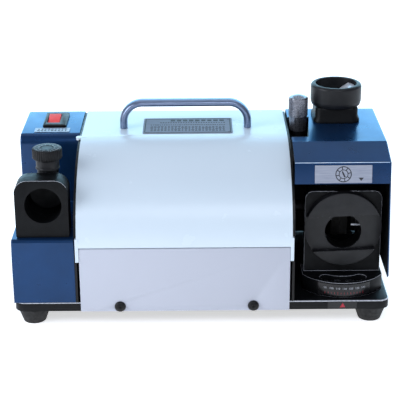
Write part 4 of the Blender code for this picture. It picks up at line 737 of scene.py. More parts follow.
# ---------------------------------------------------------------- centre bay
def cover_path(steps=72):
    """The centre cover's outside, from the front seam over the top to the rear seam, in (Y, Z)."""
    depth = sizes().curve
    centre = COVER_FRONT + depth
    radius = 0.016
    path = []
    for k in range(steps + 1):
        angle = pi - pi / 2 * k / steps
        path.append(Vector((centre + depth * cos(angle), SEAM + (COVER_TOP - SEAM) * sin(angle))))
    for k in range(13):
        angle = pi / 2 * (1 - k / 12)
        path.append(Vector((BACK - radius * (1 - cos(angle)), COVER_TOP - radius * (1 - sin(angle)))))
    path.append(Vector((BACK, SEAM)))
    return path


def centre_cover():
    """The white cover's curved sheet, with an ear at each foot and a tab at the top."""
    cover = prism("centre_cover", "X", strip(cover_path(), SHEET), COVER_LEFT, COVER_RIGHT, white_enamel())
    for side, end in ((-1, COVER_LEFT), (1, COVER_RIGHT)):
        x0, x1 = sorted((end + side * 0.0018, end - side * 0.0022))
        join(cover, block(f"ear_{side}", (x0, COVER_FRONT, SEAM - 0.018),
                          (x1, COVER_FRONT + 0.010, SEAM + 0.011)))
    tab = low("top_cover").x
    front = COVER_FRONT + sizes().curve - 0.014
    ear = rectangle(tab, front, COVER_LEFT + 0.006, front + 0.008, 0.0039, 8)
    join(cover, prism("tab", "Z", ear, COVER_TOP - 0.0038, COVER_TOP - 0.0002))
    soften(cover, 0.0005, 3, angle=40)
    cover.data.shade_smooth()
    cover.data.set_sharp_from_angle(angle=radians(32))
    even = cover.modifiers.new("even_normals", "WEIGHTED_NORMAL")
    even.keep_sharp = True
    apply_modifiers(cover)
    finished(cover, "root", "white_enamel", "top_cover")


def front_panel():
    """The folded panel below the cover, drilled for its two screws."""
    corner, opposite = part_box("front_panel")
    face = corner.y
    path = rounded([(face, corner.z, 0), (face, opposite.z, 0.0014), (opposite.y, opposite.z, 0)], 5)
    # Greyer enamel: painted shade on the lower front panel.
    panel = prism("lower_front_panel", "X", strip(path, 0.0012), corner.x, opposite.x, panel_enamel_painted_shade())
    for side in ("left", "right"):
        centre = middle(f"front_screw_{side}")
        cut(panel, rod("hole", "Y", (centre.x, centre.z), 0.0034, face - OVER, face + OVER, segments=32))
    soften(panel, 0.0003, 2, angle=50)
    finished(panel, "root", "white_enamel", "front_panel")


def panel_screws():
    """Black domed screws with a cross recess, and the smaller ones that hold the covers at the rear."""
    for side in ("left", "right"):
        node = f"front_screw_{side}"
        centre = middle(node)
        place = Vector((centre.x, low(node).y + 0.0034, centre.z))
        head = grown(f"panel_screw_{side}", screw_tree(), {
            "Head Radius": 0.0067, "Head Height": 0.0034, "Recess": 0.0024, "Material": black_steel()},
            turned_to(place, (0, -1, 0), radians(20)))
        shank = rod("shank", "Y", (centre.x, centre.z), 0.003, place.y, high(node).y, black_steel(),
                    segments=32)
        finished(merged(f"panel_screw_{side}_whole", [head, shank]), "root", "black_steel", node)
    rear = [(x, z) for x in (COVER_LEFT + 0.010, COVER_RIGHT - 0.010)
            for z in (DECK + 0.008, SEAM - 0.010)]
    rear += [(LEFT_END + 0.012, DECK + 0.010), (LEFT_END + 0.012, COVER_TOP - 0.030),
             (LEFT_END + 0.062, COVER_TOP - 0.030)]
    hood_rear = [(x, z) for x in (HOOD_LEFT + 0.012, RIGHT_END - 0.014)
                 for z in (DECK + 0.012, HOOD_TOP - 0.035)]
    sets = (("rear_screws", rear, BACK - GAP), ("hood_screws", hood_rear, high("right_cover").y))
    for name, places, back in sets:
        screws = grown(name, screw_tree(), {
            "Head Radius": 0.0042, "Head Height": 0.0024, "Recess": 0.0018, "Material": black_steel()},
            Matrix.Translation((0, back, 0)) @ Matrix.Rotation(-pi / 2, 4, "X"),
            [(x, -z, 0) for x, z in places])
        finished(screws, "root", "black_steel")


def rear_panel():
    """The rear panel, with its vents cut as slots."""
    corner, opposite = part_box("rear_panel")
    # Greyer enamel: painted shade on the rear panel.
    panel = block("rear_vent_panel", corner, opposite, panel_enamel_painted_shade())
    count = sizes().vents
    pitch = 0.010
    centre = (corner + opposite) / 2
    tools = []
    for k in range(count):
        x = centre.x + (k - (count - 1) / 2) * pitch
        slot = rectangle(x - 0.002, centre.z - 0.018, x + 0.002, centre.z + 0.018, 0.0019, 4)
        tools.append(prism(f"vent_{k}", "Y", slot, corner.y - OVER, opposite.y + OVER))
    cut(panel, *tools)
    soften(panel, 0.0002, 1, angle=50)
    finished(panel, "root", "white_enamel", "rear_panel")


def handle():
    """The carrying handle: a flat oval bar bent twice."""
    corner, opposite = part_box("handle")
    half = Vector((0.00475, 0.009))
    left, right, top = corner.x + half.x, opposite.x - half.x, opposite.z - half.x
    path = rounded([(left, corner.z, 0), (left, top, 0.024), (right, top, 0.024), (right, corner.z, 0)], 24)
    outward = shifted(path, 1.0, closed=False)
    mesh = bmesh.new()
    rings = []
    steps = 40
    for point, moved in zip(path, outward):
        direction = (moved - point).normalized()
        ring = []
        for k in range(steps):
            angle = tau * k / steps
            u = (abs(cos(angle)) ** 0.85) * (1 if cos(angle) > 0 else -1)
            place = point + direction * half.x * u
            across = (corner.y + opposite.y) / 2 + half.y * sin(angle)
            ring.append(mesh.verts.new((place[0], across, place[1])))
        rings.append(ring)
    close(mesh, rings)
    finished(add("carrying_handle", mesh, chrome()), "root", "chrome", "handle")


def nameplate():
    """A framed plate with lines of print that spell nothing, and a rivet at each corner."""
    corner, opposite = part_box("nameplate")
    top = opposite.z
    plate = prism("name_plate", "Z", face_of(corner, opposite, radius=0.002), corner.z, top - 0.0003,
                  plate_foil())
    soften(plate, 0.0001, 1)
    finished(plate, "root", "aluminium", "nameplate")
    margin, inner_margin = Vector((0.002, 0.002, 0)), Vector((0.0032, 0.0032, 0))
    rim = prism("name_plate_rim", "Z", face_of(corner + margin, opposite - margin, radius=0.0015),
                top - 0.0004, top - 0.00015, print_ink())
    inner = face_of(corner + inner_margin, opposite - inner_margin, radius=0.0010)
    cut(rim, prism("rim_hole", "Z", inner, corner.z - OVER, top + OVER))
    centre = (corner + opposite) / 2
    # Columns, rows, width, size of a dash, shortest share, shift in X and Y, seed.
    rows = [
        (9, 1, 0.062, (0.0058, 0.0058, 0.0002), 0.85, (0.012, 0.0205), 3),
        (26, 1, 0.080, (0.0022, 0.0022, 0.0002), 0.6, (0.006, 0.0115), 5),
        (34, 1, 0.092, (0.0024, 0.0018, 0.0002), 0.5, (0.0, 0.0025), 9),
        (22, 5, 0.090, (0.0036, 0.0014, 0.0002), 0.4, (0.0, -0.0130), 11),
    ]
    lines = []
    for n, (columns, count, width, size, shortest, shift, seed) in enumerate(rows):
        place = Matrix.Translation((centre.x + shift[0], centre.y + shift[1], top - 0.00025))
        lines.append(grown(f"print_{n}", dash_tree(), {
            "Columns": columns, "Rows": count, "Width": width, "Depth": 0.0165, "Size": size,
            "Shortest": shortest, "Seed": seed, "Material": print_ink()}, place))
    finished(merged("name_plate_print", [rim, *lines]), "root", "aluminium")
    points = [(corner.x + dx, corner.y + dy, 0) for dx in (0.0045, 0.1075) for dy in (0.0045, 0.0565)]
    rivets = grown("name_plate_rivets", screw_tree(), {
        "Head Radius": 0.0016, "Head Height": 0.0007, "Recess": 0.0002, "Material": plate_foil()},
        Matrix.Translation((0, 0, top - 0.0003)), points)
    finished(rivets, "root", "aluminium")


# ---------------------------------------------------------------- left cover, switch and setting port
def left_cover():
    """The blue box at the left, stepped back over the setting port's ledge."""
    corner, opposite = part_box("left_cover")
    step = low("switch_label").y - 0.013
    ledge = low("setting_block").z - GAP
    outline = rounded([
        (corner.y, corner.z, 0), (opposite.y, corner.z, 0), (opposite.y, opposite.z, 0.016),
        (step, opposite.z, 0.012), (step, ledge, 0.0025), (corner.y, ledge, 0.004),
    ])
    cover = prism("left_blue_cover", "X", outline, corner.x, opposite.x, blue_enamel())
    soften(cover, sizes().fold, 5, where=lambda co: co.x < corner.x + 1e-4 and co.z > corner.z, angle=30)
    inside = shifted(outline, SHEET)
    inside = [Vector((p[0], p[1] - OVER)) if p[1] < corner.z + 2 * SHEET else p for p in inside]
    cut(cover, prism("hollow", "X", inside, corner.x + SHEET, opposite.x + OVER))
    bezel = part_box("switch_bezel")
    lip = 0.0027
    cut(cover, block("switch_hole", (bezel[0].x + lip, bezel[0].y + lip, opposite.z - OVER),
                     (bezel[1].x - lip, bezel[1].y - lip, opposite.z + OVER)))
    inlet = middle("power_inlet")
    half = Vector((0.0153, 0, 0.0113))
    cut(cover, block("inlet_hole", (inlet.x - half.x, opposite.y - OVER, inlet.z - half.z),
                     (inlet.x + half.x, opposite.y + OVER, inlet.z + half.z)))
    finished(cover, "root", "blue_enamel", "left_cover")


def switch():
    """The mains switch: a black bezel round a red rocker, and the strip in front of it."""
    corner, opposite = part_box("switch_bezel")
    rise = opposite.z
    seat = COVER_TOP + GAP
    outline = face_of(corner, opposite, radius=0.0022)
    bezel = loft("mains_switch_bezel", "Z", [
        (seat, outline), (rise - 0.0012, outline), (rise - 0.0004, shifted(outline, 0.0005)),
        (rise, shifted(outline, 0.0013))], black_plastic())
    join(bezel, block("body", (corner.x + 0.003, corner.y + 0.003, corner.z),
                      (opposite.x - 0.003, opposite.y - 0.003, seat + 0.001)))
    axis = pivot("rocker_tilt")
    pocket = rectangle(axis.x - 0.0081, axis.y - 0.0168, axis.x + 0.0081, axis.y + 0.0168, 0.001)
    cut(bezel, prism("pocket", "Z", pocket, axis.z - 0.011, rise + OVER))
    soften(bezel, 0.0003, 2, angle=60)
    finished(bezel, "root", "black_plastic", "switch_bezel")
    top = []
    for k in range(13):
        y = ROCKER_HALF * (k / 6 - 1)
        top.append((y, 0.0018 - 0.0008 * (1 - abs(y) / ROCKER_HALF)))
    outline = [Vector(p) for p in ((-ROCKER_HALF, -0.004), (ROCKER_HALF, -0.004), *reversed(top))]
    tilted = [Matrix.Rotation(radians(8.0), 2) @ p + axis.yz for p in outline]
    rocker = prism("mains_rocker", "X", tilted, axis.x - 0.0075, axis.x + 0.0075, red_plastic())
    soften(rocker, 0.0006, 3, angle=40)
    finished(rocker, "rocker", "red_plastic", "switch_rocker")
    corner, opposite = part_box("switch_label")
    strip_plate = prism("switch_strip", "Z", face_of(corner, opposite, radius=0.001), corner.z,
                        opposite.z - 0.0002, label_foil())
    finished(strip_plate, "root", "aluminium", "switch_label")
    centre = (corner + opposite) / 2
    lines = grown("switch_strip_print", dash_tree(), {
        "Columns": 9, "Rows": 2, "Width": 0.034, "Depth": 0.006, "Size": (0.0034, 0.0028, 0.0002),
        "Shortest": 0.4, "Seed": 4, "Material": print_ink()},
        Matrix.Translation((centre.x, centre.y, opposite.z - 0.00015)))
    finished(lines, "root", "aluminium")


def power_inlet():
    """The mains inlet's moulded flange and pocket with three plated pins."""
    corner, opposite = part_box("power_inlet")
    centre = (corner + opposite) / 2
    seat = BACK + GAP
    inlet = prism("mains_inlet", "Y", face_of(corner, opposite, "xz", 0.004), seat, opposite.y,
                  black_plastic())
    join(inlet, block("body", (centre.x - 0.015, corner.y, centre.z - 0.011),
                      (centre.x + 0.015, seat + 0.001, centre.z + 0.011)))
    wide, tall = 0.012, 0.00825
    pocket = rounded([(centre.x + u, centre.z + v, radius) for u, v, radius in (
        (-wide, -tall, 0.001), (wide, -tall, 0.001), (wide, 0.0045, 0.0008), (0.0085, tall, 0.0008),
        (-0.0085, tall, 0.0008), (-wide, 0.0045, 0.0008))], 4)
    floor = opposite.y - 0.016
    cut(inlet, prism("pocket", "Y", pocket, floor, opposite.y + OVER))
    soften(inlet, 0.0005, 2, angle=50)
    pins = []
    for k in (-1, 0, 1):
        x, z = centre.x + k * 0.007, centre.z + (0.002 if k == 0 else -0.001)
        pin = block(f"pin_{k}", (x - 0.001, floor - 0.001, z - 0.002),
                    (x + 0.001, floor + 0.009, z + 0.002), turned_steel())
        pins.append(soften(pin, 0.0004, 2))
    finished(merged("mains_inlet_whole", [inlet, *pins]), "root", "black_plastic", "power_inlet")


def setting_port():
    """The setting port: a bored plate, the housing behind it and the dial's collar."""
    edge = sizes().edge
    corner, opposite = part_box("setting_block")
    outline = rounded([
        (corner.x, corner.z, 0.002), (opposite.x, corner.z, 0.002), (opposite.x, opposite.z, 0.0155),
        (corner.x, opposite.z, 0.0155)], 12)
    plate = prism("setting_port_plate", "Y", outline, corner.y, opposite.y, black_anodised(), edge_highlight_and_bright_metal())
    bore = SETTING
    cut(plate, rod("bore", "Y", bore, SETTING_BORE, corner.y - OVER, opposite.y + OVER, segments=128))
    # The plate's top edges take the pale edge colour: a painted highlight.
    soften(plate, edge / 2, 3, where=lambda co: co.z > opposite.z - 0.009, angle=40, material=1)
    finished(plate, "root", "black_anodised", "setting_block")
    corner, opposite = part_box("setting_housing")
    radius = (opposite.x - corner.x) / 2
    axis = pivot("dial_turn")
    arch = [Vector((corner.x, corner.z)), Vector((opposite.x, corner.z))]
    arch += [bore + radius * Vector((cos(a), sin(a))) for a in (pi * k / 48 for k in range(49))]
    housing = prism("setting_port_housing", "Y", arch, corner.y, opposite.y, black_anodised())
    boss, guide = 0.0125, 0.0078
    join(housing, rod("boss", "Z", axis.xy, boss, bore[1], opposite.z, segments=64))
    cut(housing, rod("bore", "Y", bore, SETTING_BORE, corner.y - OVER, opposite.y - 0.006, segments=128))
    cut(housing, rod("guide", "Z", axis.xy, guide, bore[1], opposite.z + OVER, segments=48))
    soften(housing, edge, 2, angle=40)
    finished(housing, "root", "black_anodised", "setting_housing")
    corner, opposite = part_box("dial_neck")
    radius = (opposite.x - corner.x) / 2
    neck = turned("dial_collar", "Z", axis.xy, [
        (SPINDLE_HOLE, corner.z), (radius, corner.z), (radius, corner.z + 0.0012),
        (radius - 0.0006, corner.z + 0.0020), (radius - 0.0006, opposite.z - 0.0015),
        (radius - 0.0012, opposite.z), (SPINDLE_HOLE, opposite.z)], turned_anodised())
    finished(neck, "root", "black_anodised", "dial_neck")


def size_dial():
    """The size dial: a fluted black knob with a numbered scale on its top."""
    corner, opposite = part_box("size_dial")
    axis = pivot("dial_turn").xy
    radius = (opposite.x - corner.x) / 2
    flutes = sizes().flutes
    top = opposite.z - 0.00015
    sections = []
    for z, inset, depth in (
            (corner.z, 0.0012, 0.0), (corner.z + 0.0012, 0.0, 0.0006), (top - 0.0016, 0.0, 0.0006),
            (top - 0.0006, 0.0006, 0.0003), (top, 0.0016, 0.0)):
        sections.append((z, circle(axis, radius - inset, flutes * 8, depth, flutes)))
    knob = loft("size_dial_knob", "Z", sections, black_plastic())
    cut(knob, rod("seat", "Z", axis, SPINDLE_HOLE, corner.z - OVER, corner.z + 0.0079, segments=32))
    cut(knob, rod("hub_groove", "Z", axis, 0.0078, top - 0.0006, top + OVER, segments=64))
    join(knob, rod("hub", "Z", axis, 0.0070, top - 0.0016, top - 0.0002, segments=64))
    finished(knob, "dial", "black_plastic", "size_dial", angle=40)
    place = Matrix.Translation((*axis, opposite.z - 0.0001))
    marks = [grown("dial_marks", ring_tree(), {
        "Count": 41, "Radius": radius - 0.0032, "Arc": radians(330), "Start": radians(-75),
        "Size": (0.0016, 0.00035, 0.0002), "Every": 5, "Stretch": 1.7, "Material": white_ink()}, place)]
    for k in range(12):
        angle = radians(-75 + 30 * k)
        across = axis + (radius - 0.0082) * Vector((cos(angle), sin(angle)))
        turn = Matrix.Translation((*across, opposite.z - 0.0001)) @ Matrix.Rotation(angle - pi / 2, 4, "Z")
        marks.append(number(f"dial_number_{k}", str(k + 2), 0.0034, turn, white_ink()))
    finished(merged("size_dial_scale", marks), "dial", "black_plastic")


# ---------------------------------------------------------------- hood and the ports on it
def hood_points():
    """The hood's corners in (Y, Z): side foot, lip and bend of the front, crease."""
    foot = Vector((low("right_cover").y, low("right_cover").z + 0.0227))
    lip = Vector((FRONT + 0.0286, HOOD_TOP - 0.037))
    bend = Vector((FRONT + 0.032, HOOD_TOP - 0.0115))
    return foot, lip, bend, Vector((FRONT + 0.076, HOOD_TOP))


def hood():
    """The blue wheel hood: folded sheet, open below its front lip, with a pit for the knob."""
    foot, lip, bend, crease = hood_points()
    back = high("right_cover").y
    roof = [(back, HOOD_TOP, 0.012), (*crease, 0.004), (*bend, 0.0026), (*lip, 0)]
    outline = rounded([
        (*foot, 0.002), (back - 0.040, foot.y, 0), (back - 0.040, DECK, 0), (back, DECK, 0), *roof], 8)
    cover = prism("wheel_hood", "X", outline, HOOD_LEFT, RIGHT_END, blue_enamel())
    soften(cover, sizes().fold, 5, where=lambda co: co.x > RIGHT_END - 1e-4, angle=30)
    inside = shifted(rounded([(back, DECK - 0.02, 0), *roof], 8), HOOD_SHEET, closed=False)
    inside += [Vector((FRONT - 0.02, lip.y)), Vector((FRONT - 0.02, DECK - 0.02))]
    # The hood's inside takes the black of the hollow: painted shade inside the hood.
    cut(cover, prism("hollow", "X", inside, HOOD_LEFT - OVER, RIGHT_END - HOOD_SHEET, black_steel()))
    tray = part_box("pit_tray")
    pit = [Vector((HOOD_LEFT - OVER, tray[0].y - GAP)), Vector((HOOD_LEFT + 0.0207, tray[0].y - GAP)),
           Vector((HOOD_LEFT + 0.0272, tray[1].y + GAP)), Vector((HOOD_LEFT - OVER, tray[1].y + GAP))]
    cut(cover, prism("pit", "Z", pit, HOOD_TOP - OVER, HOOD_TOP + OVER))
    web = middle("web_port_ring").xy
    cut(cover, rod("web_hole", "Z", web, 0.0248, HOOD_TOP - OVER, HOOD_TOP + OVER))
    # The faces round the front fold take the pale fold colour: a painted highlight along the bend.
    cover.data.materials.append(fold_painted_highlight())
    bend_mid = ((lip - bend).normalized() + (crease - bend).normalized()).normalized()
    for face in cover.data.polygons:
        near = (Vector((face.center.y, face.center.z)) - bend).length < 0.002
        if near and Vector((face.normal.y, face.normal.z)).dot(-bend_mid) > 0.985:
            face.material_index = len(cover.data.materials) - 1
    finished(cover, "root", "blue_enamel", "right_cover")


def front_label():
    """The strip on the hood's front: a wheel sign and a small pointer, generic."""
    _, lip, bend, _ = hood_points()
    along = (bend - lip).normalized()
    outward = Vector((-along.y, along.x))
    foot = lip + along * 0.001 + outward * GAP
    corner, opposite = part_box("front_label")
    rise, out = along * 0.0215, outward * 0.0006
    plate = prism("hood_front_label", "X", [foot, foot + rise, foot + rise + out, foot + out],
                  corner.x, opposite.x, label_foil())
    soften(plate, 0.0001, 1)
    finished(plate, "root", "aluminium", "front_label")
    up = Vector((0, along.x, along.y))
    out3 = Vector((0, outward.x, outward.y))
    centre2 = foot + rise / 2 + out
    centre = Vector((corner.x + 0.0337, centre2.x, centre2.y)) - out3 * 0.00005
    basis = Matrix((Vector((1, 0, 0)), up, Vector((1, 0, 0)).cross(up))).transposed().to_4x4()
    place = Matrix.Translation(centre) @ basis
    under, over = -0.00005, 0.0001
    sign = []
    for n, (radius, width) in enumerate(((0.0096, 0.0011), (0.0056, 0.0009))):
        sign.append(tube(f"sign_{n}", "Z", (0, 0), radius - width, radius, under, over, print_ink(),
                         edge=0.00002))
        sign[-1].data.transform(place)
    sign.append(grown("sign_spokes", ring_tree(), {
        "Count": 9, "Radius": 0.0072, "Arc": tau, "Start": 0.2, "Size": (0.0038, 0.0011, 0.00015),
        "Material": print_ink()}, place))
    bit = ((-0.0009, -0.0040), (0.0009, -0.0040), (0.0009, 0.0030), (0, 0.0042), (-0.0009, 0.0030))
    arrow = ((-0.0032, 0.0016), (0, -0.0024), (0.0032, 0.0016))
    for name, points, move in (("sign_bit", bit, Matrix.Rotation(radians(25), 4, "Z")),
                               ("sign_arrow", arrow, Matrix.Translation((0.0208, -0.0058, 0)))):
        sign.append(prism(name, "Z", [Vector(p) for p in points], under, over, print_ink()))
        sign[-1].data.transform(place @ move)
    finished(merged("hood_label_sign", sign), "root", "aluminium")


def feed_knob():
    """The silver knob: a knurled band over a faceted taper, on its black pedestal."""
    corner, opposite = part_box("feed_knob")
    axis = pivot("feed_turn").xy
    radius = (opposite.x - corner.x) / 2
    band = corner.z + 0.019
    top = opposite.z
    facets = 12
    barrel = radius - 0.0003
    crown = top - 0.0042
    sections = [(corner.z, circle(axis, radius - 0.0020, 144, 0.0004, facets)),
                (corner.z + 0.0008, circle(axis, radius - 0.0015, 144, 0.0005, facets)),
                (band - 0.0016, circle(axis, radius - 0.0008, 144, 0.0005, facets))]
    sections += [(band + 0.0001 * k, circle(axis, barrel, 144)) for k in range(4)]
    sections.append((crown, circle(axis, barrel, 144)))
    for angle in (pi / 2 * k / 8 for k in range(1, 9)):
        shoulder = circle(axis, barrel - 0.0022 * (1 - cos(angle)), 144)
        sections.append((crown + 0.0016 * sin(angle), shoulder))
    sections += [(top - 0.0012, circle(axis, radius - 0.0052, 144)), (top, circle(axis, 0.002, 144))]
    knob = loft("feed_knob_body", "Z", sections, knurled_steel())
    cut(knob, rod("seat", "Z", axis, SPINDLE_HOLE, corner.z - OVER, corner.z + 0.012, segments=32))
    ridges = grown("feed_knob_ridges", ring_tree(), {
        "Count": sizes().knurls + 1, "Radius": radius - 0.00042, "Arc": tau, "Start": 0.0,
        "Size": (0.0008, 0.0007, crown - band - 0.0012), "Material": knurled_steel()},
        Matrix.Translation((*axis, (crown + band) / 2)))
    soften(ridges, 0.0002, 1)
    finished(merged("feed_knob_whole", [knob, ridges]), "feed", "bright_steel", "feed_knob", angle=28)
    corner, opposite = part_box("feed_pedestal")
    pedestal = turned("feed_knob_pedestal", "Z", axis, [
        (SPINDLE_HOLE, corner.z), (0.009, corner.z), (0.009, corner.z + 0.002), (0.0075, corner.z + 0.0035),
        (0.0075, opposite.z - 0.003), (0.0086, opposite.z - 0.002), (0.0086, opposite.z),
        (SPINDLE_HOLE, opposite.z)], turned_anodised())
    finished(pedestal, "root", "black_steel", "feed_pedestal")


def web_port():
    """The web thinning port: a bored neck, a thick rim and the bright cam bush inside."""
    corner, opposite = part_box("web_port_neck")
    web = middle("web_port_ring").xy
    outline = face_of(corner, opposite, radius=0.012, steps=12)
    waist = shifted(outline, 0.0022)
    foot = corner.z
    neck = loft("web_port_body", "Z", [
        (foot, outline), (foot + 0.0030, outline), (foot + 0.0065, waist), (opposite.z - 0.002, waist),
        (opposite.z - 0.001, shifted(outline, 0.0026)), (opposite.z, shifted(outline, 0.0034))],
        black_anodised())
    cut(neck, rod("bore", "Z", web, 0.0245, corner.z - OVER, opposite.z + OVER, segments=128))
    finished(neck, "root", "black_anodised", "web_port_neck", angle=40)
    corner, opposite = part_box("web_port_ring")
    radius = 0.0318
    inner = 0.0255
    rim = rounded([
        (inner, corner.z, 0), (radius - 0.0015, corner.z, 0), (radius - 0.0004, corner.z + 0.0030, 0.001),
        (radius, corner.z + 0.0055, 0.001), (radius, opposite.z, 0.0038), (inner, opposite.z, 0.0014)], 8)
    ring = turned("web_port_rim", "Z", web, [tuple(p) for p in rim], turned_anodised(), segments=128)
    finished(ring, "root", "black_anodised", "web_port_ring")
    corner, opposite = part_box("web_port_cam")
    crest = high("web_port_ring").z - 0.005
    # Bright steel in the pale edge colour, which is partly a painted highlight where the bush catches the
    # light.
    bush = rod("web_port_cam_bush", "Z", web, 0.0241, corner.z, crest, edge_highlight_and_bright_metal(), segments=128)
    cam = circle((web.x - 0.004, web.y), 0.0190, 144, ripple=0.0012, teeth=3)
    cut(bush, prism("cam", "Z", cam, corner.z - OVER, crest + OVER))
    past = 0.03
    ramp = [Vector((web.x + u, z)) for u, z in (
        (-past, corner.z + 0.004), (0.006, crest - 0.010), (0.017, crest), (past, crest),
        (past, crest + 0.02), (-past, crest + 0.02))]
    cut(bush, prism("ramp", "Y", ramp, web.y - past, web.y + past))
    soften(bush, 0.0003, 2, angle=40)
    finished(bush, "root", "bright_steel", "web_port_cam")


# ---------------------------------------------------------------- grinding port
def swivel_bracket():
    """The round foot with its arc slot, and the upright block, as one casting."""
    edge = sizes().edge
    corner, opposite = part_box("swivel_bracket")
    axis = pivot("swivel_turn").xy
    radius = axis.y - corner.y
    half = (opposite.x - corner.x) / 2
    top = corner.z + 0.0187
    start = pi / 2 - asin(half / radius)
    foot = [Vector(axis) + radius * Vector((cos(a), sin(a)))
            for a in (-pi + start + (pi - 2 * start) * k / 64 for k in range(65))]
    foot += [Vector((axis.x + half, axis.y + 0.0075)), Vector((axis.x - half, axis.y + 0.0075))]
    bracket = prism("swivel_casting", "Z", foot, corner.z, top, black_anodised(), edge_highlight_and_bright_metal())
    front, back = axis.y - 0.0171, axis.y + 0.0029
    width = 0.092 / 2
    outline = rounded([(axis.x - width, top - 0.006, 0), (axis.x + width, top - 0.006, 0),
                       (axis.x + width, opposite.z, 0.010), (axis.x - width, opposite.z, 0.010)], 10)
    join(bracket, prism("block", "Y", outline, front, back))
    track, arc = 0.0415, radians(30.0)
    cut(bracket, prism("pocket", "Z", arc_slot(axis, track, 0.0075, arc), top - 0.010, top + OVER))
    cut(bracket, prism("slot", "Z", arc_slot(axis, track, 0.0035, arc), corner.z - OVER, top + OVER))
    cut(bracket, rod("bore", "Y", (axis.x, SHAFT.y), 0.0243, front - OVER, back + OVER, segments=128))
    cut(bracket, rod("socket", "Z", axis, 0.0053, corner.z - OVER, corner.z + 0.014, segments=48))
    # The casting's sharp edges take the pale edge colour: a painted highlight.
    soften(bracket, edge * 1.2, 3, angle=40, material=1)
    finished(bracket, "swivel", "black_anodised", "swivel_bracket")


def port_disc():
    """The port's round plate: a channel across it for the collet holder's lugs, and the bore."""
    corner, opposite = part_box("port_disc")
    centre = Vector(((corner.x + opposite.x) / 2, (corner.z + opposite.z) / 2))
    radius = 0.0464
    edge = 0.0010
    rim = rounded([
        (radius, corner.y, edge), (radius, opposite.y, 0.0003), (0, opposite.y, 0), (0, corner.y, 0)], 5)
    profile = [(0, corner.y)] + [tuple(p) for p in rim[:12]]
    disc = turned("port_face_disc", "Y", centre, [*profile, (0, opposite.y)], turned_anodised(),
                  edge_highlight_and_bright_metal(), segments=160)
    half, bore_radius = 0.02225, 0.022
    turn = Matrix.Rotation(radians(2.2), 2)
    bore = Vector((centre.x, SHAFT.y))
    channel = [turn @ p + bore for p in rectangle(-0.06, -half, 0.06, half)]
    cut(disc, prism("channel", "Y", channel, corner.y - OVER, corner.y + 0.007))
    cut(disc, rod("bore", "Y", bore, bore_radius, corner.y - OVER, opposite.y + OVER, segments=128))
    # The disc's sharp edges take the pale edge colour: a painted highlight.
    soften(disc, 0.0004, 2, angle=50, material=1)
    finished(disc, "swivel", "black_anodised", "port_disc")
    corner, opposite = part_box("port_sleeve")
    # The sleeve is bright steel, coloured black as painted shade inside the bore.
    sleeve = tube("port_bore_sleeve", "Y", bore, bore_radius, 0.0239, corner.y, opposite.y,
                  black_steel(), edge=0.0005, segments=128)
    finished(sleeve, "swivel", "bright_steel", "port_sleeve")
    # A bright steel pin, coloured pale to give the glint inside the bore: a painted highlight.
    along = ((corner.y + opposite.y) / 2, bore[1] + 0.0033)
    pin = rod("port_locating_pin", "X", along, 0.0013, bore[0] + 0.0108, bore[0] + 0.0226, edge_highlight_and_bright_metal(),
              segments=24)
    soften(pin, 0.0003, 2)
    finished(pin, "swivel", "bright_steel")


def angle_scale():
    """The black scale on the foot's rim, with white marks and numbers, and the index on the base."""
    axis = pivot("swivel_turn").xy
    corner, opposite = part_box("scale_plate")
    inner = 0.0553
    outer = inner + 0.0006
    arc = radians(34.0)
    plate = prism("angle_scale_plate", "Z", sector(axis, inner, outer, arc, 96), corner.z, opposite.z,
                  gloss_black())
    finished(plate, "swivel", "black_plastic", "scale_plate")
    count = sizes().marks
    spread = radians(24.0)
    place = Matrix.Translation((*axis, corner.z + 0.0042))
    marks = [grown("scale_marks", ring_tree(), {
        "Count": count, "Radius": outer, "Arc": 2 * spread, "Start": -pi / 2 - spread,
        "Size": (0.0002, 0.00032, 0.0024), "Every": 4, "Stretch": 1.5, "Along": 1,
        "Material": red_ink()}, place)]
    for k, text in enumerate(("90", "100", "110", "118", "120", "130", "140")):
        angle = -pi / 2 - spread + 2 * spread * k / 6
        direction = Vector((cos(angle), sin(angle), 0))
        spot_at = Vector((*axis, corner.z + 0.0102)) + direction * (outer + 0.00005)
        sideways = Vector((-sin(angle), cos(angle), 0))
        basis = Matrix((sideways, Vector((0, 0, 1)), direction)).transposed().to_4x4()
        place = Matrix.Translation(spot_at) @ basis
        marks.append(number(f"scale_number_{k}", text, 0.0036, place, white_ink()))
    finished(merged("angle_scale_marks", marks), "swivel", "black_plastic")
    corner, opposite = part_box("index_plate")
    plate = prism("index_mark_plate", "Y", face_of(corner, opposite, "xz", 0.0008), corner.y + 0.0002,
                  opposite.y, gloss_black())
    finished(plate, "root", "black_plastic", "index_plate")
    x, z = (corner.x + opposite.x) / 2 + 0.0005, (corner.z + opposite.z) / 2
    tips = [Vector((x - 0.0034, z - 0.0028)), Vector((x + 0.0034, z - 0.0028)), Vector((x, z + 0.0032))]
    arrow = prism("index_arrow", "Y", tips, corner.y + 0.0001, corner.y + 0.0003, red_ink())
    finished(arrow, "root", "black_plastic")


def clamp_screws():
    """Socket head screws in the foot's arc slot."""
    for side in ("left", "right"):
        node = f"swivel_clamp_{side}"
        corner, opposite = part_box(node)
        centre = middle(node).xy
        seat = opposite.z - 0.006
        rim = [tuple(p) for p in rounded([(0.0064, seat, 0.0002), (0.0064, opposite.z, 0.0007),
                                          (0, opposite.z, 0), (0, seat, 0)], 5)]
        screw = turned(f"clamp_screw_{side}", "Z", centre, [(0, corner.z), (0.003, corner.z), (0.003, seat)]
                       + rim[:12] + [(0, opposite.z)], turned_steel(), segments=64)
        cut(screw, rod("hex", "Z", centre, 0.0029, opposite.z - 0.003, opposite.z + OVER, segments=6))
        finished(screw, "root", "black_steel", node)


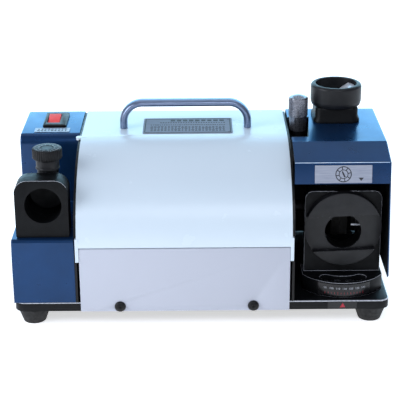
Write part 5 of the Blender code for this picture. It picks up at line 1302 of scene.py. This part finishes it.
# ---------------------------------------------------------------- base, feet and what stays from the frame
def base():
    """The cast base with a machined chamfer along its top edge, coloured pale as a painted highlight."""
    corner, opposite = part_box("base_plate")
    outline = face_of(corner, opposite, radius=0.012, steps=16)
    plate = prism("cast_base", "Z", outline, corner.z, opposite.z, cast_iron_paint(), edge_highlight_and_bright_metal())
    axis = pivot("swivel_turn").xy
    # The top edge's chamfer takes the pale edge colour: a painted highlight.
    soften(plate, 0.0011, 2, where=lambda co: co.z > opposite.z - 1e-4, angle=50, material=1)
    floor, tapped = opposite.z - 0.0073, 0.0033
    holes = [rod("pivot_hole", "Z", axis, 0.0053, floor, opposite.z + OVER, segments=32)]
    for side in ("left", "right"):
        centre = middle(f"swivel_clamp_{side}")
        holes.append(rod(f"clamp_{side}", "Z", centre.xy, tapped, floor, opposite.z + OVER, segments=32))
        centre = middle(f"front_screw_{side}")
        holes.append(rod(f"screw_{side}", "Y", (centre.x, centre.z), tapped, corner.y - OVER,
                         corner.y + 0.0103, segments=32))
    cut(plate, *holes)
    finished(plate, "root", "black_casting", "base_plate")


def feet():
    """Flared rubber feet with a recess below."""
    for row in ("front", "rear"):
        for side in ("left", "right"):
            node = f"foot_{row}_{side}"
            top = high(node).z
            outline = rounded([(0.004, 0.0, 0), (0.0135, 0.0, 0.0012), (0.0165, top * 0.45, 0.010),
                               (0.0205, top, 0.0008), (0, top, 0), (0, 0.006, 0), (0.004, 0.006, 0)], 6)
            foot = turned(f"rubber_{node}", "Z", middle(node).xy, [tuple(p) for p in outline], rubber(),
                          segments=64)
            finished(foot, "root", "rubber", node)


def inner_parts():
    """The frame's own nodes that stay, each with a finish; some are blacked as painted shade."""
    # The motor shaft, the wheel flange and the carriage rails are black only as painted shade deep in the
    # hood.
    finishes = {
        black_steel: ("left_frame", "right_frame", "pit_tray", "wheel_guard", "motor_shaft", "wheel_flange",
                      "carriage_rail_front", "carriage_rail_rear"),
        black_anodised: ("motor_cradle", "feed_fork"),
        black_plastic: ("fan",),
        turned_steel: ("dial_spindle", "tip_stop", "feed_spindle", "web_port_sleeve", "swivel_pin",
                       "bearing_left", "bearing_right", "wheel_nut"),
        cast_aluminium: ("end_shield_left", "end_shield_right", "capacitor"),
        motor_enamel: ("motor_body",),
        abrasive: ("grinding_wheel",),
    }
    for make, names in finishes.items():
        for name in names:
            mesh = frame["nodes"][name].data
            mesh.materials.clear()
            mesh.materials.append(make())


# ---------------------------------------------------------------- stage
def softbox(name, place, target, width, height, power, colour="FFFFFF"):
    light = bpy.data.lights.new(name, "AREA")
    light.shape = "RECTANGLE"
    light.size = width
    light.size_y = height
    light.energy = power
    light.color = hex_colour(colour)[:3]
    lamp = linked(name, light)
    lamp.location = place
    lamp.rotation_euler = (Vector(target) - Vector(place)).to_track_quat("-Z", "Y").to_euler()


def stage():
    """Pale floor, an even sky and four soft boxes, with the camera in front and a little above."""
    floor = prism("studio_floor", "Z", rectangle(-6, -6, 6, 6), -0.02, 0.0, floor_paper())
    bpy.context.scene.view_settings.view_transform = "Standard"
    world = bpy.data.worlds.new("studio")
    bpy.context.scene.world = world
    world.use_nodes = True
    world.node_tree.nodes["Background"].inputs["Color"].default_value = hex_colour("E4ECFF")
    world.node_tree.nodes["Background"].inputs["Strength"].default_value = 0.38
    softbox("key_box", (-1.7, -0.7, 1.0), (0, 0, 0.1), 1.0, 1.2, 24, "F2F6FF")
    softbox("fill_box", (0.4, -2.0, 1.9), (0, 0, 0.1), 1.4, 0.9, 18, "F2F6FF")
    softbox("top_box", (0.1, 0.7, 1.7), (0, 0, 0.1), 2.0, 1.2, 5, "F2F8FF")
    softbox("back_wall", (0.2, 2.4, 0.9), (0, 0, 0.2), 3.6, 1.8, 68, "A8E2FF")
    camera_data = bpy.data.cameras.new("camera")
    camera_data.sensor_width = 36.0
    camera_data.lens = 117.0
    camera = linked("camera", camera_data)
    distance, elevation = 1.634, radians(21.0)
    target = Vector((-0.0014, 0, 0.115))
    camera.location = target + distance * Vector((0, -cos(elevation), sin(elevation)))
    aim = (target - camera.location).to_track_quat("-Z", "Y").to_matrix().to_4x4()
    camera.rotation_euler = (aim @ Matrix.Rotation(radians(-0.45), 4, "Z")).to_euler()
    bpy.context.scene.camera = camera


# ---------------------------------------------------------------- operators
class SHARPENER_OT_stage(bpy.types.Operator):
    """Make the floor, the lights and the camera"""
    bl_idname = "sharpener.stage"
    bl_label = "Stage"

    def execute(self, context):
        stage()
        return {"FINISHED"}


class SHARPENER_OT_base(bpy.types.Operator):
    """Make the cast base and its rubber feet"""
    bl_idname = "sharpener.base"
    bl_label = "Base and feet"

    def execute(self, context):
        base()
        feet()
        return {"FINISHED"}


class SHARPENER_OT_centre(bpy.types.Operator):
    """Make the white centre cover and its panels"""
    bl_idname = "sharpener.centre"
    bl_label = "Centre cover"

    def execute(self, context):
        centre_cover()
        front_panel()
        rear_panel()
        return {"FINISHED"}


class SHARPENER_OT_screws(bpy.types.Operator):
    """Make the screws that hold the covers"""
    bl_idname = "sharpener.screws"
    bl_label = "Cover screws"

    def execute(self, context):
        panel_screws()
        return {"FINISHED"}


class SHARPENER_OT_handle(bpy.types.Operator):
    """Make the carrying handle and the nameplate"""
    bl_idname = "sharpener.handle"
    bl_label = "Handle and nameplate"

    def execute(self, context):
        handle()
        nameplate()
        return {"FINISHED"}


class SHARPENER_OT_left_cover(bpy.types.Operator):
    """Make the blue left cover with its switch and mains inlet"""
    bl_idname = "sharpener.left_cover"
    bl_label = "Left cover and switch"

    def execute(self, context):
        left_cover()
        switch()
        power_inlet()
        return {"FINISHED"}


class SHARPENER_OT_setting_port(bpy.types.Operator):
    """Make the setting port and its size dial"""
    bl_idname = "sharpener.setting_port"
    bl_label = "Setting port"

    def execute(self, context):
        setting_port()
        size_dial()
        return {"FINISHED"}


class SHARPENER_OT_hood(bpy.types.Operator):
    """Make the blue wheel hood and its label"""
    bl_idname = "sharpener.hood"
    bl_label = "Wheel hood"

    def execute(self, context):
        hood()
        front_label()
        return {"FINISHED"}


class SHARPENER_OT_top_controls(bpy.types.Operator):
    """Make the silver feed knob and the web thinning port"""
    bl_idname = "sharpener.top_controls"
    bl_label = "Feed knob and web port"

    def execute(self, context):
        feed_knob()
        web_port()
        return {"FINISHED"}


class SHARPENER_OT_grinding_port(bpy.types.Operator):
    """Make the swivelling grinding port, its scale and its clamp screws"""
    bl_idname = "sharpener.grinding_port"
    bl_label = "Grinding port"

    def execute(self, context):
        swivel_bracket()
        port_disc()
        angle_scale()
        clamp_screws()
        return {"FINISHED"}


class SHARPENER_OT_inner_parts(bpy.types.Operator):
    """Give the motor, the wheel and the inner parts their finishes"""
    bl_idname = "sharpener.inner_parts"
    bl_label = "Inner parts"

    def execute(self, context):
        inner_parts()
        return {"FINISHED"}


STEPS = (SHARPENER_OT_stage, SHARPENER_OT_base, SHARPENER_OT_centre, SHARPENER_OT_screws, SHARPENER_OT_handle,
         SHARPENER_OT_left_cover, SHARPENER_OT_setting_port, SHARPENER_OT_hood, SHARPENER_OT_top_controls,
         SHARPENER_OT_grinding_port, SHARPENER_OT_inner_parts)


class SHARPENER_PT_panel(bpy.types.Panel):
    """Sizes, colours and steps of the drill bit sharpener"""
    bl_idname = "SHARPENER_PT_panel"
    bl_label = "Drill bit sharpener"
    bl_space_type = "VIEW_3D"
    bl_region_type = "UI"
    bl_category = "Sharpener"

    def draw(self, context):
        column = self.layout.column()
        for settings in (context.scene.sharpener_sizes, context.scene.sharpener_colours):
            for name in settings.__annotations__:
                column.prop(settings, name)
        for step in STEPS:
            column.operator(step.bl_idname)


CLASSES = (SharpenerSizes, SharpenerColours, *STEPS, SHARPENER_PT_panel)


def register():
    for made in CLASSES:
        bpy.utils.register_class(made)
    bpy.types.Scene.sharpener_sizes = bpy.props.PointerProperty(type=SharpenerSizes)
    bpy.types.Scene.sharpener_colours = bpy.props.PointerProperty(type=SharpenerColours)


def unregister():
    del bpy.types.Scene.sharpener_colours
    del bpy.types.Scene.sharpener_sizes
    for made in reversed(CLASSES):
        bpy.utils.unregister_class(made)


def main():
    register()
    for step in STEPS:
        group, name = step.bl_idname.split(".")
        getattr(getattr(bpy.ops, group), name)()


if __name__ == "__main__":
    main()
